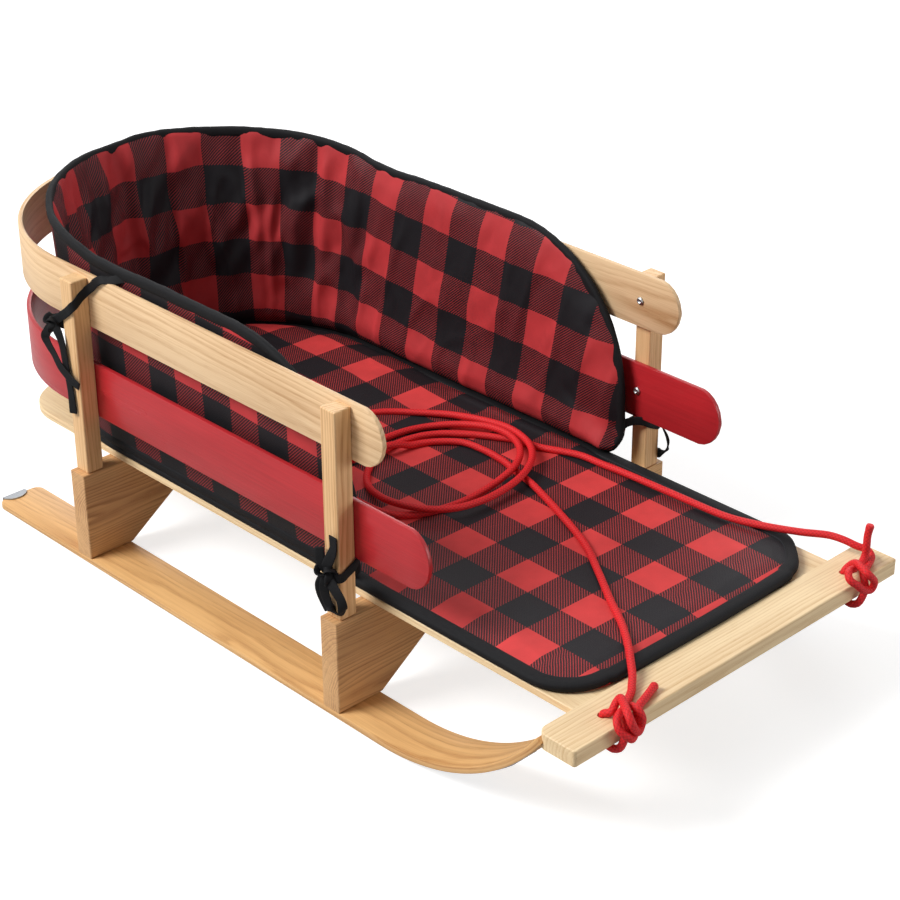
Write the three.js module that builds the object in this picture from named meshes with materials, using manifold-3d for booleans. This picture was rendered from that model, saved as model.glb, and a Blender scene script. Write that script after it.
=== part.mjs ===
// Baby pull sled: bent ash runners and rails on two cross benches, a slatted deck, a padded liner tied to the
// posts, and a pull rope knotted through the front crossbar. Millimetres, +Z up, the front faces -Y, and the
// origin is on the ground at the middle of the sled's length and width.
import * as THREE from "three";
import { mergeGeometries, mergeVertices } from "three/addons/utils/BufferGeometryUtils.js";
import Module from "manifold-3d";

const wasm = await Module();
wasm.setup();

// Whole sled
const sledLength = 910; // front face of the crossbar to the back of the upper rail
const trackWidth = 432; // over the outer edges of the runners
const seam = 0.3; // glue line or seat gap between two pieces
const ease = 0.8; // sanded edge of the wooden pieces
const overrun = 2; // how far a cutting tool passes the face that it cuts
const frontY = -sledLength / 2;
const rearY = sledLength / 2;

// Runners and their steel shoes
const runnerWidth = 51;
const runnerThickness = 6.4;
const runnerRearInset = 83; // the upper rail overhangs the runners' rear ends by this much
const runnerCornerRadius = 9;
const curlRadius = 240; // underside of the bent front
const curlReach = 231; // the bend starts this far behind the front face
const tipDepth = 13; // how far the tip reaches into the crossbar, along the bend
const shoeWidth = 28;
const shoeOffset = 5; // its middle outside the runner's middle
const shoeThickness = 1.2;
const tabReach = 11; // rounded tab folded over the runner's rear end
const curlSegments = 18;

// Benches
const benchThickness = 22;
const benchHeight = 94; // over the runner
const benchFrontInset = 295; // its middle behind the front face
const benchRearInset = 238; // its middle in front of the upper rail's back
const footWidth = 52.5;
const legSlope = 34.9; // degrees of the slanted inner edge to the ground
const benchBeamDepth = 26; // depth of wood left under the deck
const benchArchRadius = 18;

// Deck
const deckClearance = 15.7; // deck's side edges inside the rails' inner faces
const deckThickness = 7.5;
const deckRearInset = 65; // deck's rear edge in front of the upper rail's back
const deckCornerMargin = 5.8; // of the outer boards' rear ends left straight
const deckBoards = 5;
const deckGap = 2.5;

// Front crossbar
const crossbarInset = 2.5; // its ends inside the runners' outer edges
const crossbarDepth = 43;
const crossbarThickness = 16;
const crossbarProud = 2; // its top above the deck's top
const crossbarRearRadius = 11;
const crossbarFrontRadius = 3;
const ledgeDepth = 14; // rabbet that the deck boards' front ends lie on
const ropeHoleSpacing = 320;
const ropeHoleDiameter = 9;
const ropeHoleInset = 19.5; // from the front face

// Posts and their dowels
const postSize = 19;
const postTopZ = 307.5;
const postInset = 6.7; // post's outer face inside the bench's outer face
const postCornerRadius = 1.6;
const dowelDiameter = 9.5;
const dowelLength = 50;

// Rails
const railThickness = 4.8;
const upperRailHeight = 55;
const upperRailTopZ = 310.7;
const upperRailReach = 38; // past the front posts' front faces
const lowerRailHeight = 58;
const lowerRailTopZ = 216.8;
const lowerRailReach = 93;
const railNoseDepth = 26;
const bendSegments = 30;

// Screws
const railScrew = { headDiameter: 7.5, headHeight: 2.2, shankDiameter: 3.6, length: 18 };
const deckScrew = { headDiameter: 7, headHeight: 2.4, shankDiameter: 3.6, length: 26 };
const footScrew = { headDiameter: 8, headHeight: 2.8, shankDiameter: 4, length: 34 };
const screwSides = 10;
const screwClearance = 0.3;

// Liner: seat pad and the wall round the back and sides
const padThickness = 8.8;
const padOverhang = 2; // seat pad past the deck's side edges
const padCornerRadius = 50;
const padFrontBow = 5; // how far the front edge bows out in its middle
const padRearInset = 3; // behind the pad, in front of the deck's rear edge
const wallThickness = 12;
const wallEdgeThickness = 4.5;
const wallFlare = 10; // each side leans out by this much at its top
const wallBackFlare = 24; // and the back by this much
const wallTopZ = 326.5;
const wallBackTopZ = 343;
const wallBackInset = 237; // the half-oval back starts this far in front of the upper rail's back
const wallFrontInset = 301; // the front edge behind the front face
const wallFrontShoulderZ = 175; // the front edge is upright below this and a quarter oval above
const wallFrontSlope = 154; // length of the quarter oval
const wallHeelHeight = 26; // rounded bottom corner of the front edge
const wallHeelDepth = 18;
const puckerDepth = 1.6;
const puckerCount = 6;
const wallSideStations = 13;
const wallBackStations = 26;
const wallLevels = 7;

// Tape ties
const tapeWidth = 9;
const tapeThickness = 1.6;
const frontTieZ = 149;
const rearTieZ = 263.5;
const tieKnotWidth = 13;
const tieKnotDepth = 6;
const tieHookDrop = 8; // the rear tie leaves the rail this far below its top
const frontTailUp = 37;
const frontTailDown = 34;
const rearTailLong = 86;
const rearTailShort = 52;

// Pull rope
const ropeDiameter = 7;
const ropeSides = 8;
const ropeStep = 14;
const ropeGap = 0.3; // to what it lies on, and between its pieces
const stubLength = 9; // strand that leaves each knot
const knotLobe = 9.5; // radius of the knot's turns
const coilSides = 6;
const coilStepsPerTurn = 24;
const coilCentre = [20, -52];
const coilHalfLength = 104; // along X
const coilHalfWidth = 84; // along Y
const coilLift = 7.9; // height of the strand that crosses over another

// Heights that follow from the stack
const runnerBottomZ = shoeThickness + seam;
const runnerTopZ = runnerBottomZ + runnerThickness;
const benchBottomZ = runnerTopZ + seam;
const benchTopZ = benchBottomZ + benchHeight;
const deckBottomZ = benchTopZ + seam;
const deckTopZ = deckBottomZ + deckThickness;
const crossbarTopZ = deckTopZ + crossbarProud;
const crossbarBottomZ = crossbarTopZ - crossbarThickness;
const crossbarRearY = frontY + crossbarDepth;
const crossbarLength = trackWidth - 2 * crossbarInset;
const curlStartY = frontY + curlReach;
const benchFrontY = frontY + benchFrontInset;
const benchRearY = rearY - benchRearInset;
const wallBackStartY = rearY - wallBackInset;
const wallFrontY = frontY + wallFrontInset;
const wallFrontTopY = wallFrontY + wallFrontSlope;
const padBottomZ = deckTopZ + seam;
const padTopZ = padBottomZ + padThickness;
const wallBottomZ = padTopZ + seam;
const runnerMidX = (trackWidth - runnerWidth) / 2;
const runnerRearY = rearY - runnerRearInset;
const deckRearY = rearY - deckRearInset;
const postOuterX = trackWidth / 2 - postInset;
const postMidX = postOuterX - postSize / 2;
const railOuterX = postOuterX - postSize - seam;
const railInnerX = railOuterX - railThickness;
const railBendY = rearY - railOuterX;
const deckWidth = 2 * (railInnerX - deckClearance);
const upperRailMidZ = upperRailTopZ - upperRailHeight / 2;
const lowerRailMidZ = lowerRailTopZ - lowerRailHeight / 2;
const postFrontFaceY = benchFrontY - postSize / 2;
const ropeHoleY = frontY + ropeHoleInset;
const ropeRadius = ropeDiameter / 2;
const ropeOnPadZ = padTopZ + ropeGap + ropeRadius;
const tapeStand = seam + tapeThickness / 2; // middle of a tape that lies on a face

// Finishes
const finish = (color, roughness, metalness) => () =>
  new THREE.MeshStandardMaterial({ color, roughness, metalness });
const ashWood = finish(0xd9b281, 0.55, 0);
const paleWood = finish(0xe3c596, 0.6, 0);
const redPaint = finish(0xa81e24, 0.3, 0);
const steel = finish(0xa9adad, 0.35, 1);
const checkCloth = finish(0xa02a2c, 0.85, 0);
const blackTape = finish(0x1b1b1d, 0.85, 0);
const redRope = finish(0xd8232a, 0.7, 0);

// Solids: a closed geometry to a manifold and back
function solidOf(geometry) {
  const bare = geometry.clone();
  bare.deleteAttribute("normal");
  bare.deleteAttribute("uv");
  const merged = mergeVertices(bare, 1e-4);
  return new wasm.Manifold(
    new wasm.Mesh({
      numProp: 3,
      vertProperties: new Float32Array(merged.attributes.position.array),
      triVerts: new Uint32Array(merged.index.array),
    }),
  );
}

function geometryOf(solid) {
  const mesh = solid.getMesh();
  return new THREE.BufferGeometry()
    .setAttribute("position", new THREE.BufferAttribute(mesh.vertProperties, mesh.numProp))
    .setIndex(new THREE.BufferAttribute(mesh.triVerts, 1));
}

function subtract(geometry, ...tools) {
  const solid = tools.reduce((rest, tool) => rest.subtract(solidOf(tool)), solidOf(geometry));
  return geometryOf(solid);
}

function intersect(geometry, tool) {
  return geometryOf(solidOf(geometry).intersect(solidOf(tool)));
}

function join(...geometries) {
  const [first, ...others] = geometries.map(solidOf);
  return geometryOf(others.reduce((whole, solid) => whole.add(solid), first));
}

// A board sawn from a drawn outline, with its edges sanded; its faces lie at 0 and at thickness.
function board(shape, thickness, sanded = ease, curveSegments = 8) {
  const geometry = new THREE.ExtrudeGeometry(shape, {
    depth: thickness - 2 * sanded,
    bevelEnabled: sanded > 0,
    bevelThickness: sanded,
    bevelSize: sanded,
    bevelOffset: -sanded,
    bevelSegments: 1,
    curveSegments,
  });
  return geometry.translate(0, 0, sanded);
}

// Outlines drawn in (y, z) become boards that run along X, and outlines in (x, z) boards that run along -Y.
const alongX = new THREE.Matrix4().makeBasis(
  new THREE.Vector3(0, 1, 0),
  new THREE.Vector3(0, 0, 1),
  new THREE.Vector3(1, 0, 0),
);
const alongMinusY = new THREE.Matrix4().makeBasis(
  new THREE.Vector3(1, 0, 0),
  new THREE.Vector3(0, 0, 1),
  new THREE.Vector3(0, -1, 0),
);

function block(lowX, highX, lowY, highY, lowZ, highZ) {
  return new THREE.BoxGeometry(highX - lowX, highY - lowY, highZ - lowZ).translate(
    (lowX + highX) / 2,
    (lowY + highY) / 2,
    (lowZ + highZ) / 2,
  );
}

function roundedRectangle(lowX, highX, lowY, highY, rearRadius, frontRadius) {
  const shape = new THREE.Shape();
  shape.moveTo(lowX + frontRadius, lowY);
  shape.lineTo(highX - frontRadius, lowY);
  shape.absarc(highX - frontRadius, lowY + frontRadius, frontRadius, -Math.PI / 2, 0, false);
  shape.lineTo(highX, highY - rearRadius);
  shape.absarc(highX - rearRadius, highY - rearRadius, rearRadius, 0, Math.PI / 2, false);
  shape.lineTo(lowX + rearRadius, highY);
  shape.absarc(lowX + rearRadius, highY - rearRadius, rearRadius, Math.PI / 2, Math.PI, false);
  shape.lineTo(lowX, lowY + frontRadius);
  shape.absarc(lowX + frontRadius, lowY + frontRadius, frontRadius, Math.PI, Math.PI * 1.5, false);
  return shape;
}

// An upright peg or hole; axis is "x", "y" or "z".
function peg(diameter, length, axis, x, y, z, sides = 14) {
  const geometry = new THREE.CylinderGeometry(diameter / 2, diameter / 2, length, sides);
  if (axis === "x") geometry.rotateZ(Math.PI / 2);
  if (axis === "z") geometry.rotateX(Math.PI / 2);
  return geometry.translate(x, y, z);
}

// Joins rings of equally many points into one closed solid with a fan at each end.
function loft(rings) {
  const count = rings[0].length;
  const points = rings.flat();
  const index = [];
  for (let row = 0; row + 1 < rings.length; row++) {
    for (let i = 0; i < count; i++) {
      const next = (i + 1) % count;
      const a = row * count + i;
      const b = row * count + next;
      index.push(a, b, b + count, a, b + count, a + count);
    }
  }
  for (const [row, turned] of [[0, true], [rings.length - 1, false]]) {
    const middle = new THREE.Vector3();
    rings[row].forEach((point) => middle.addScaledVector(point, 1 / count));
    points.push(middle);
    for (let i = 0; i < count; i++) {
      const a = row * count + i;
      const b = row * count + ((i + 1) % count);
      index.push(...(turned ? [b, a, points.length - 1] : [a, b, points.length - 1]));
    }
  }
  const flat = new Float32Array(points.flatMap((point) => point.toArray()));
  return new THREE.BufferGeometry()
    .setAttribute("position", new THREE.BufferAttribute(flat, 3))
    .setIndex(index);
}

// A round cord along a smooth curve through points.
function cordAlong(points, diameter, steps, sides) {
  const section = new THREE.Shape();
  for (let i = 0; i < sides; i++) {
    const angle = (i / sides) * Math.PI * 2;
    const point = [Math.cos(angle), Math.sin(angle)].map((share) => (share * diameter) / 2);
    if (i === 0) section.moveTo(...point);
    else section.lineTo(...point);
  }
  const curve = new THREE.CatmullRomCurve3(points.map((point) => new THREE.Vector3(...point)));
  return new THREE.ExtrudeGeometry(section, {
    extrudePath: curve,
    steps,
    bevelEnabled: false,
  });
}

function cordSteps(points, step) {
  const curve = new THREE.CatmullRomCurve3(points.map((point) => new THREE.Vector3(...point)));
  return Math.ceil(curve.getLength() / step);
}

// A flat tape through points; across is the direction of its edges' ends.
function tape(points, across) {
  const places = points.map((point) => new THREE.Vector3(...point));
  const rings = places.map((place, i) => {
    const along = places[Math.min(i + 1, places.length - 1)].clone();
    along.sub(places[Math.max(i - 1, 0)]).normalize();
    const side = new THREE.Vector3(...across);
    const up = new THREE.Vector3().crossVectors(along, side).normalize();
    const corners = [[-1, -1], [1, -1], [1, 1], [-1, 1]];
    return corners.map(([s, u]) =>
      place
        .clone()
        .addScaledVector(side, (s * tapeWidth) / 2)
        .addScaledVector(up, (u * tapeThickness) / 2),
    );
  });
  return loft(rings);
}

const sled = new THREE.Group();

function add(name, geometry, material) {
  const mesh = new THREE.Mesh(geometry, material());
  mesh.name = name;
  sled.add(mesh);
  return mesh;
}

const sides = [
  ["left", -1],
  ["right", 1],
];
const ends = [
  ["front", benchFrontY],
  ["rear", benchRearY],
];

// The runner's bend: a point on the arc of the given radius, angle turned up from the ground.
function bendPoint(radius, angle) {
  return [
    curlStartY - radius * Math.sin(angle),
    runnerBottomZ + curlRadius - radius * Math.cos(angle),
  ];
}

// Side profile of a bent strip from its rear end to its tip; low and high are offsets from the underside.
function bentStrip(low, high, rear, tipAngle) {
  const profile = new THREE.Shape();
  profile.moveTo(rear, runnerBottomZ + low);
  profile.lineTo(rear, runnerBottomZ + high);
  profile.lineTo(...bendPoint(curlRadius - high, 0));
  for (let i = 1; i <= curlSegments; i++) {
    profile.lineTo(...bendPoint(curlRadius - high, (tipAngle * i) / curlSegments));
  }
  for (let i = curlSegments; i >= 0; i--) {
    profile.lineTo(...bendPoint(curlRadius - low, (tipAngle * i) / curlSegments));
  }
  return profile;
}

const shoeCurlShare = 0.8; // how far up the bend the steel runs
const barAngle = Math.asin((curlStartY - crossbarRearY) / curlRadius);
const tipAngle = barAngle + tipDepth / curlRadius;

function runner(side) {
  const strip = board(bentStrip(0, runnerThickness, runnerRearY, tipAngle), runnerWidth)
    .applyMatrix4(alongX)
    .translate(side * runnerMidX - runnerWidth / 2, 0, 0);
  const plan = roundedRectangle(
    side * runnerMidX - runnerWidth / 2,
    side * runnerMidX + runnerWidth / 2,
    frontY,
    runnerRearY,
    runnerCornerRadius,
    runnerCornerRadius,
  );
  const trimmed = intersect(strip, board(plan, sledLength, 0).translate(0, 0, -overrun));
  const cuts = ends.flatMap(([, y]) => [
    peg(
      footScrew.shankDiameter + 2 * screwClearance,
      2 * (runnerThickness + overrun),
      "z",
      side * runnerMidX,
      y,
      runnerBottomZ,
    ),
    countersink(footScrew).rotateX(Math.PI).translate(side * runnerMidX, y, runnerBottomZ),
  ]);
  return subtract(trimmed, ...cuts);
}

// The steel shoe under the runner, folded up round its rear end into a rounded tab.
function shoe(side) {
  const low = -seam - shoeThickness;
  const rear = runnerRearY + seam + shoeThickness;
  const middle = side * (runnerMidX + shoeOffset);
  const underside = bentStrip(low, -seam, rear, barAngle * shoeCurlShare);
  const strip = board(underside, shoeWidth, 0)
    .applyMatrix4(alongX)
    .translate(middle - shoeWidth / 2, 0, 0);
  const tabBottomZ = runnerTopZ + seam;
  const tabTopZ = tabBottomZ + shoeThickness;
  const riser = block(
    middle - shoeWidth / 2,
    middle + shoeWidth / 2,
    runnerRearY + seam,
    rear,
    runnerBottomZ + low,
    tabTopZ,
  );
  const tab = new THREE.Shape();
  tab.moveTo(middle + shoeWidth / 2, rear);
  tab.absellipse(middle, rear, shoeWidth / 2, tabReach, 0, -Math.PI, true, 0);
  const leaf = board(tab, shoeThickness, 0, 10).translate(0, 0, tabBottomZ);
  return join(strip, riser, leaf);
}

// Cross bench on edge: feet over the runners, slanted inner edges and a flat arch under the deck.
function bench(y) {
  const halfWidth = trackWidth / 2;
  const footInnerX = halfWidth - footWidth;
  const slope = THREE.MathUtils.degToRad(legSlope);
  const archZ = benchTopZ - benchBeamDepth;
  const archX = footInnerX - (archZ - benchBottomZ) / Math.tan(slope);
  const turn = benchArchRadius * Math.tan(slope / 2);
  const outline = new THREE.Shape();
  outline.moveTo(-halfWidth, benchBottomZ);
  outline.lineTo(-footInnerX, benchBottomZ);
  outline.lineTo(-archX - turn * Math.cos(slope), archZ - turn * Math.sin(slope));
  outline.quadraticCurveTo(-archX, archZ, -archX + turn, archZ);
  outline.lineTo(archX - turn, archZ);
  outline.quadraticCurveTo(archX, archZ, archX + turn * Math.cos(slope), archZ - turn * Math.sin(slope));
  outline.lineTo(footInnerX, benchBottomZ);
  outline.lineTo(halfWidth, benchBottomZ);
  outline.lineTo(halfWidth, benchTopZ);
  outline.lineTo(-halfWidth, benchTopZ);
  const plank = board(outline, benchThickness)
    .applyMatrix4(alongMinusY)
    .translate(0, y + benchThickness / 2, 0);
  const cuts = [];
  for (const [, side] of sides) {
    cuts.push(dowelHole(side, y, benchTopZ));
    cuts.push(
      peg(
        footScrew.shankDiameter + 2 * screwClearance,
        2 * (footScrew.length + overrun),
        "z",
        side * runnerMidX,
        y,
        runnerBottomZ,
      ),
    );
  }
  for (let i = 0; i < deckBoards; i++) {
    cuts.push(
      peg(
        deckScrew.shankDiameter + 2 * screwClearance,
        2 * (deckScrew.length + overrun),
        "z",
        boardMidX(i),
        y,
        deckTopZ,
      ),
    );
  }
  return subtract(plank, ...cuts);
}

const boardWidth = (deckWidth - (deckBoards - 1) * deckGap) / deckBoards;
const deckCornerRadius = boardWidth - deckCornerMargin;

function boardMidX(i) {
  return -deckWidth / 2 + boardWidth / 2 + i * (boardWidth + deckGap);
}

// One lengthwise deck board; the outermost ones carry the deck's rounded rear corners.
function deckBoard(i) {
  const low = boardMidX(i) - boardWidth / 2;
  const high = boardMidX(i) + boardWidth / 2;
  const front = crossbarRearY + seam;
  const outline = new THREE.Shape();
  outline.moveTo(low, front);
  outline.lineTo(high, front);
  if (i === deckBoards - 1) {
    outline.lineTo(high, deckRearY - deckCornerRadius);
    outline.absarc(high - deckCornerRadius, deckRearY - deckCornerRadius, deckCornerRadius, 0, Math.PI / 2, false);
  } else {
    outline.lineTo(high, deckRearY);
  }
  if (i === 0) {
    outline.lineTo(low + deckCornerRadius, deckRearY);
    outline.absarc(low + deckCornerRadius, deckRearY - deckCornerRadius, deckCornerRadius, Math.PI / 2, Math.PI, false);
  } else {
    outline.lineTo(low, deckRearY);
  }
  const plank = board(outline, deckThickness).translate(0, 0, deckBottomZ);
  const cuts = ends.flatMap(([, y]) => [
    peg(
      deckScrew.shankDiameter + 2 * screwClearance,
      deckThickness + 2 * overrun,
      "z",
      boardMidX(i),
      y,
      deckBottomZ + deckThickness / 2,
    ),
    countersink(deckScrew).translate(boardMidX(i), y, deckTopZ),
  ]);
  return subtract(plank, ...cuts);
}

// Front crossbar: rounded rear corners, rope holes, a ledge under the boards and slots for the runner tips.
function crossbar() {
  const halfLength = crossbarLength / 2;
  const plan = roundedRectangle(
    -halfLength,
    halfLength,
    frontY,
    crossbarRearY,
    crossbarRearRadius,
    crossbarFrontRadius,
  );
  const bar = board(plan, crossbarThickness).translate(0, 0, crossbarBottomZ);
  const ledgeHalfWidth = runnerMidX - runnerWidth / 2 - ledgeDepth / 2;
  const ledge = block(
    -ledgeHalfWidth,
    ledgeHalfWidth,
    crossbarRearY - crossbarDepth / 2,
    crossbarRearY + ledgeDepth,
    crossbarBottomZ,
    deckBottomZ - seam,
  );
  const cuts = [];
  for (const [, side] of sides) {
    const holeX = (side * ropeHoleSpacing) / 2;
    cuts.push(peg(ropeHoleDiameter, 2 * (crossbarThickness + overrun), "z", holeX, ropeHoleY, crossbarBottomZ));
    const slot = board(
      bentStrip(-seam, runnerThickness + seam, curlStartY, tipAngle + (2 * seam) / curlRadius),
      runnerWidth + seam + overrun,
      0,
    ).applyMatrix4(alongX);
    const inner = runnerMidX - runnerWidth / 2 - seam;
    const slotStart = side > 0 ? inner : -inner - (runnerWidth + seam + overrun);
    cuts.push(slot.translate(slotStart, 0, 0));
  }
  return subtract(join(bar, ledge), ...cuts);
}

function dowelHole(side, y, z) {
  return peg(dowelDiameter + 2 * seam, dowelLength + 2 * seam, "z", side * postMidX, y, z);
}

function post(side, y) {
  const half = postSize / 2;
  const plan = roundedRectangle(-half, half, -half, half, postCornerRadius, postCornerRadius);
  const foot = benchTopZ + seam;
  const stick = board(plan, postTopZ - foot, ease, 3).translate(side * postMidX, y, foot);
  const screwHoles = [upperRailMidZ, lowerRailMidZ].map((z) =>
    peg(
      railScrew.shankDiameter + 2 * screwClearance,
      2 * (railScrew.length - railThickness + overrun),
      "x",
      side * railOuterX,
      y,
      z,
      screwSides,
    ),
  );
  return subtract(stick, dowelHole(side, y, benchTopZ), ...screwHoles);
}

// A rail bent round the back: a U-shaped band cut to its rounded ends.
function rail(topZ, height, noseY) {
  const plan = new THREE.Shape();
  plan.moveTo(railOuterX, noseY);
  plan.lineTo(railOuterX, railBendY);
  plan.absarc(0, railBendY, railOuterX, 0, Math.PI, false);
  plan.lineTo(-railOuterX, noseY);
  plan.lineTo(-railInnerX, noseY);
  plan.lineTo(-railInnerX, railBendY);
  plan.absarc(0, railBendY, railInnerX, Math.PI, 0, true);
  plan.lineTo(railInnerX, noseY);
  const band = board(plan, height, ease, bendSegments).translate(0, 0, topZ - height);
  const profile = new THREE.Shape();
  profile.moveTo(noseY + railNoseDepth, topZ - height);
  profile.lineTo(rearY + overrun, topZ - height);
  profile.lineTo(rearY + overrun, topZ);
  profile.lineTo(noseY + railNoseDepth, topZ);
  profile.absellipse(
    noseY + railNoseDepth,
    topZ - height / 2,
    railNoseDepth,
    height / 2,
    Math.PI / 2,
    Math.PI * 1.5,
    false,
    0,
  );
  const ends3 = board(profile, trackWidth, 0, 9).applyMatrix4(alongX).translate(-trackWidth / 2, 0, 0);
  const cuts = ends.map(([, y]) =>
    peg(
      railScrew.shankDiameter + 2 * screwClearance,
      trackWidth,
      "x",
      0,
      y,
      topZ - height / 2,
      screwSides,
    ),
  );
  return subtract(intersect(band, ends3), ...cuts);
}

// A round-head screw along +Z: the head's underside is at zero and the shank runs down from it.
const roundHeadShares = [
  [1, 0],
  [0.88, 0.5],
  [0.55, 0.86],
  [0, 1],
];

function roundScrew(size) {
  const head = size.headDiameter / 2;
  const shank = size.shankDiameter / 2;
  return turned([
    [0, -size.length],
    [shank, -size.length + size.shankDiameter],
    [shank, 0],
    ...roundHeadShares.map(([out, up]) => [head * out, size.headHeight * up]),
  ]);
}

// A flat-head screw along +Z with its top face at zero.
function flatScrew(size) {
  const head = size.headDiameter / 2;
  const shank = size.shankDiameter / 2;
  return turned([
    [0, -size.length],
    [shank, -size.length + size.shankDiameter],
    [shank, -size.headHeight],
    [head, 0],
    [0, 0],
  ]);
}

// The hollow that a flat head lies in, with its clearance.
function countersink(size) {
  const head = size.headDiameter / 2 + screwClearance;
  const shank = size.shankDiameter / 2 + screwClearance;
  return turned([
    [0, -size.headHeight - screwClearance],
    [shank, -size.headHeight - screwClearance],
    [head, 0],
    [head, overrun],
    [0, overrun],
  ]);
}

function turned(profile) {
  const points = profile.map(([radius, height]) => new THREE.Vector2(radius, height));
  return new THREE.LatheGeometry(points, screwSides).rotateX(Math.PI / 2);
}

// Seat pad: a quilt with a crowned top, thinner sewn edges, rounded front corners and an oval rear end.
function seatPad() {
  const halfWidth = deckWidth / 2 + padOverhang;
  const front = crossbarRearY - padOverhang;
  const rear = deckRearY - padRearInset;
  const cornerSteps = 6;
  const edge = [];
  for (let i = 0; i <= cornerSteps; i++) {
    const angle = Math.PI * 1.5 + ((Math.PI / 2) * i) / cornerSteps;
    edge.push([
      halfWidth - padCornerRadius + padCornerRadius * Math.cos(angle),
      front + padFrontBow + padCornerRadius + padCornerRadius * Math.sin(angle),
    ]);
  }
  const sideSteps = 8;
  const sideStart = front + padFrontBow + padCornerRadius;
  for (let i = 1; i <= sideSteps; i++) {
    edge.push([halfWidth, sideStart + ((wallBackStartY - sideStart) * i) / sideSteps]);
  }
  const backSteps = 10;
  for (let i = 1; i <= backSteps; i++) {
    const angle = ((Math.PI / 2) * i) / backSteps;
    edge.push([halfWidth * Math.cos(angle), wallBackStartY + (rear - wallBackStartY) * Math.sin(angle)]);
  }
  const rightSide = edge.slice(0, -1);
  const leftSide = rightSide.map(([x, y]) => [-x, y]).reverse();
  const frontMiddle = [0, front];
  const outline = [...rightSide, [0, rear], ...leftSide, frontMiddle];
  const middle = [0, (front + rear) / 2];
  const ring = (share, z) =>
    outline.map(
      ([x, y]) =>
        new THREE.Vector3(middle[0] + (x - middle[0]) * share, middle[1] + (y - middle[1]) * share, z),
    );
  const crownShares = [
    [0.975, 0],
    [0.995, 0.2],
    [1, 0.5],
    [0.995, 0.8],
    [0.98, 0.93],
    [0.94, 1],
    [0.4, 1],
  ];
  return loft(crownShares.map(([inward, up]) => ring(inward, padBottomZ + padThickness * up)));
}

// Wall of the liner: padded sides and back in one piece, highest at the back, with rounded front edges.
function linerWall() {
  const foot = { side: deckWidth / 2 + padOverhang - seam, back: deckRearY - padRearInset - wallBackStartY };
  const outerAt = (share) => ({
    side: foot.side + wallFlare * share,
    back: foot.back + wallBackFlare * share,
  });
  const stations = [];
  for (let i = 0; i <= wallSideStations; i++) {
    const along = Math.sin(((Math.PI / 2) * i) / wallSideStations);
    const y = i === 0 ? wallFrontY : wallFrontY + (wallBackStartY - wallFrontY) * (1 - Math.sqrt(1 - along * along));
    stations.push({ y, turn: 0 });
  }
  for (let i = 1; i < wallBackStations; i++) {
    stations.push({ y: null, turn: (Math.PI * i) / wallBackStations });
  }
  const mirrored = stations
    .slice(0, wallSideStations + 1)
    .reverse()
    .map(({ y }) => ({ y, turn: Math.PI }));
  stations.push(...mirrored);
  const fullHeight = wallTopZ - wallBottomZ;
  const topAt = ({ y, turn }) => {
    if (y === null) return wallTopZ + (wallBackTopZ - wallTopZ) * Math.sin(turn) ** 0.6;
    if (y >= wallFrontTopY) return wallTopZ;
    const share = (wallFrontTopY - y) / (wallFrontTopY - wallFrontY);
    return wallFrontShoulderZ + (wallTopZ - wallFrontShoulderZ) * Math.sqrt(Math.max(0, 1 - share * share));
  };
  const bottomAt = ({ y }) => {
    if (y === null || y > wallFrontY + wallHeelDepth) return wallBottomZ;
    const share = 1 - (y - wallFrontY) / wallHeelDepth;
    return wallBottomZ + wallHeelHeight * (1 - Math.sqrt(1 - share * share));
  };
  const rings = stations.map((station) => {
    const top = topAt(station);
    const bottom = bottomAt(station);
    const skin = (inward) => {
      const line = [];
      for (let level = 0; level <= wallLevels; level++) {
        const up = level / wallLevels;
        const z = bottom + (top - bottom) * up;
        const outer = outerAt((z - wallBottomZ) / fullHeight);
        const fullness = Math.sin(Math.PI * up) ** 0.5;
        const depth = inward ? wallEdgeThickness + (wallThickness - wallEdgeThickness) * fullness : 0;
        const pucker = inward ? puckerDepth * up * Math.sin(station.turn) * Math.cos(station.turn * 2 * puckerCount) : 0;
        const inset = depth + pucker;
        if (station.y === null) {
          const x = (outer.side - inset) * Math.cos(station.turn);
          const y = wallBackStartY + (outer.back - inset) * Math.sin(station.turn);
          line.push(new THREE.Vector3(x, y, z));
        } else {
          const x = (outer.side - inset) * Math.cos(station.turn);
          line.push(new THREE.Vector3(x, station.y, z));
        }
      }
      return line;
    };
    return [...skin(false), ...skin(true).reverse()];
  });
  return loft(rings.map((ring) => ring.reverse()));
}

// Outer face of the liner's side at a height.
function wallOuterX(z) {
  const foot = deckWidth / 2 + padOverhang - seam;
  return foot + (wallFlare * (z - wallBottomZ)) / (wallTopZ - wallBottomZ);
}

// A tape knot lying against the outer side of a post.
function tieKnot(side, y, z) {
  return new THREE.SphereGeometry(tieKnotWidth / 2, 12, 8)
    .scale(tieKnotDepth / tieKnotWidth, 1, 1)
    .translate(side * (postOuterX + seam + tieKnotDepth / 2), y, z);
}

const tailShares = [
  [0, 0, 0],
  [0.03, -0.06, 0.35],
  [0.02, -0.14, 0.75],
  [-0.02, -0.16, 1],
];

function tieTail(side, y, z, length) {
  const x = postOuterX + seam + tieKnotDepth / 2;
  const reach = Math.abs(length);
  const points = tailShares.map(([out, along, down]) => [side * (x + out * reach), y + along * reach, z - down * length]);
  return tape(points, [0, 1, 0]);
}

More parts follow.
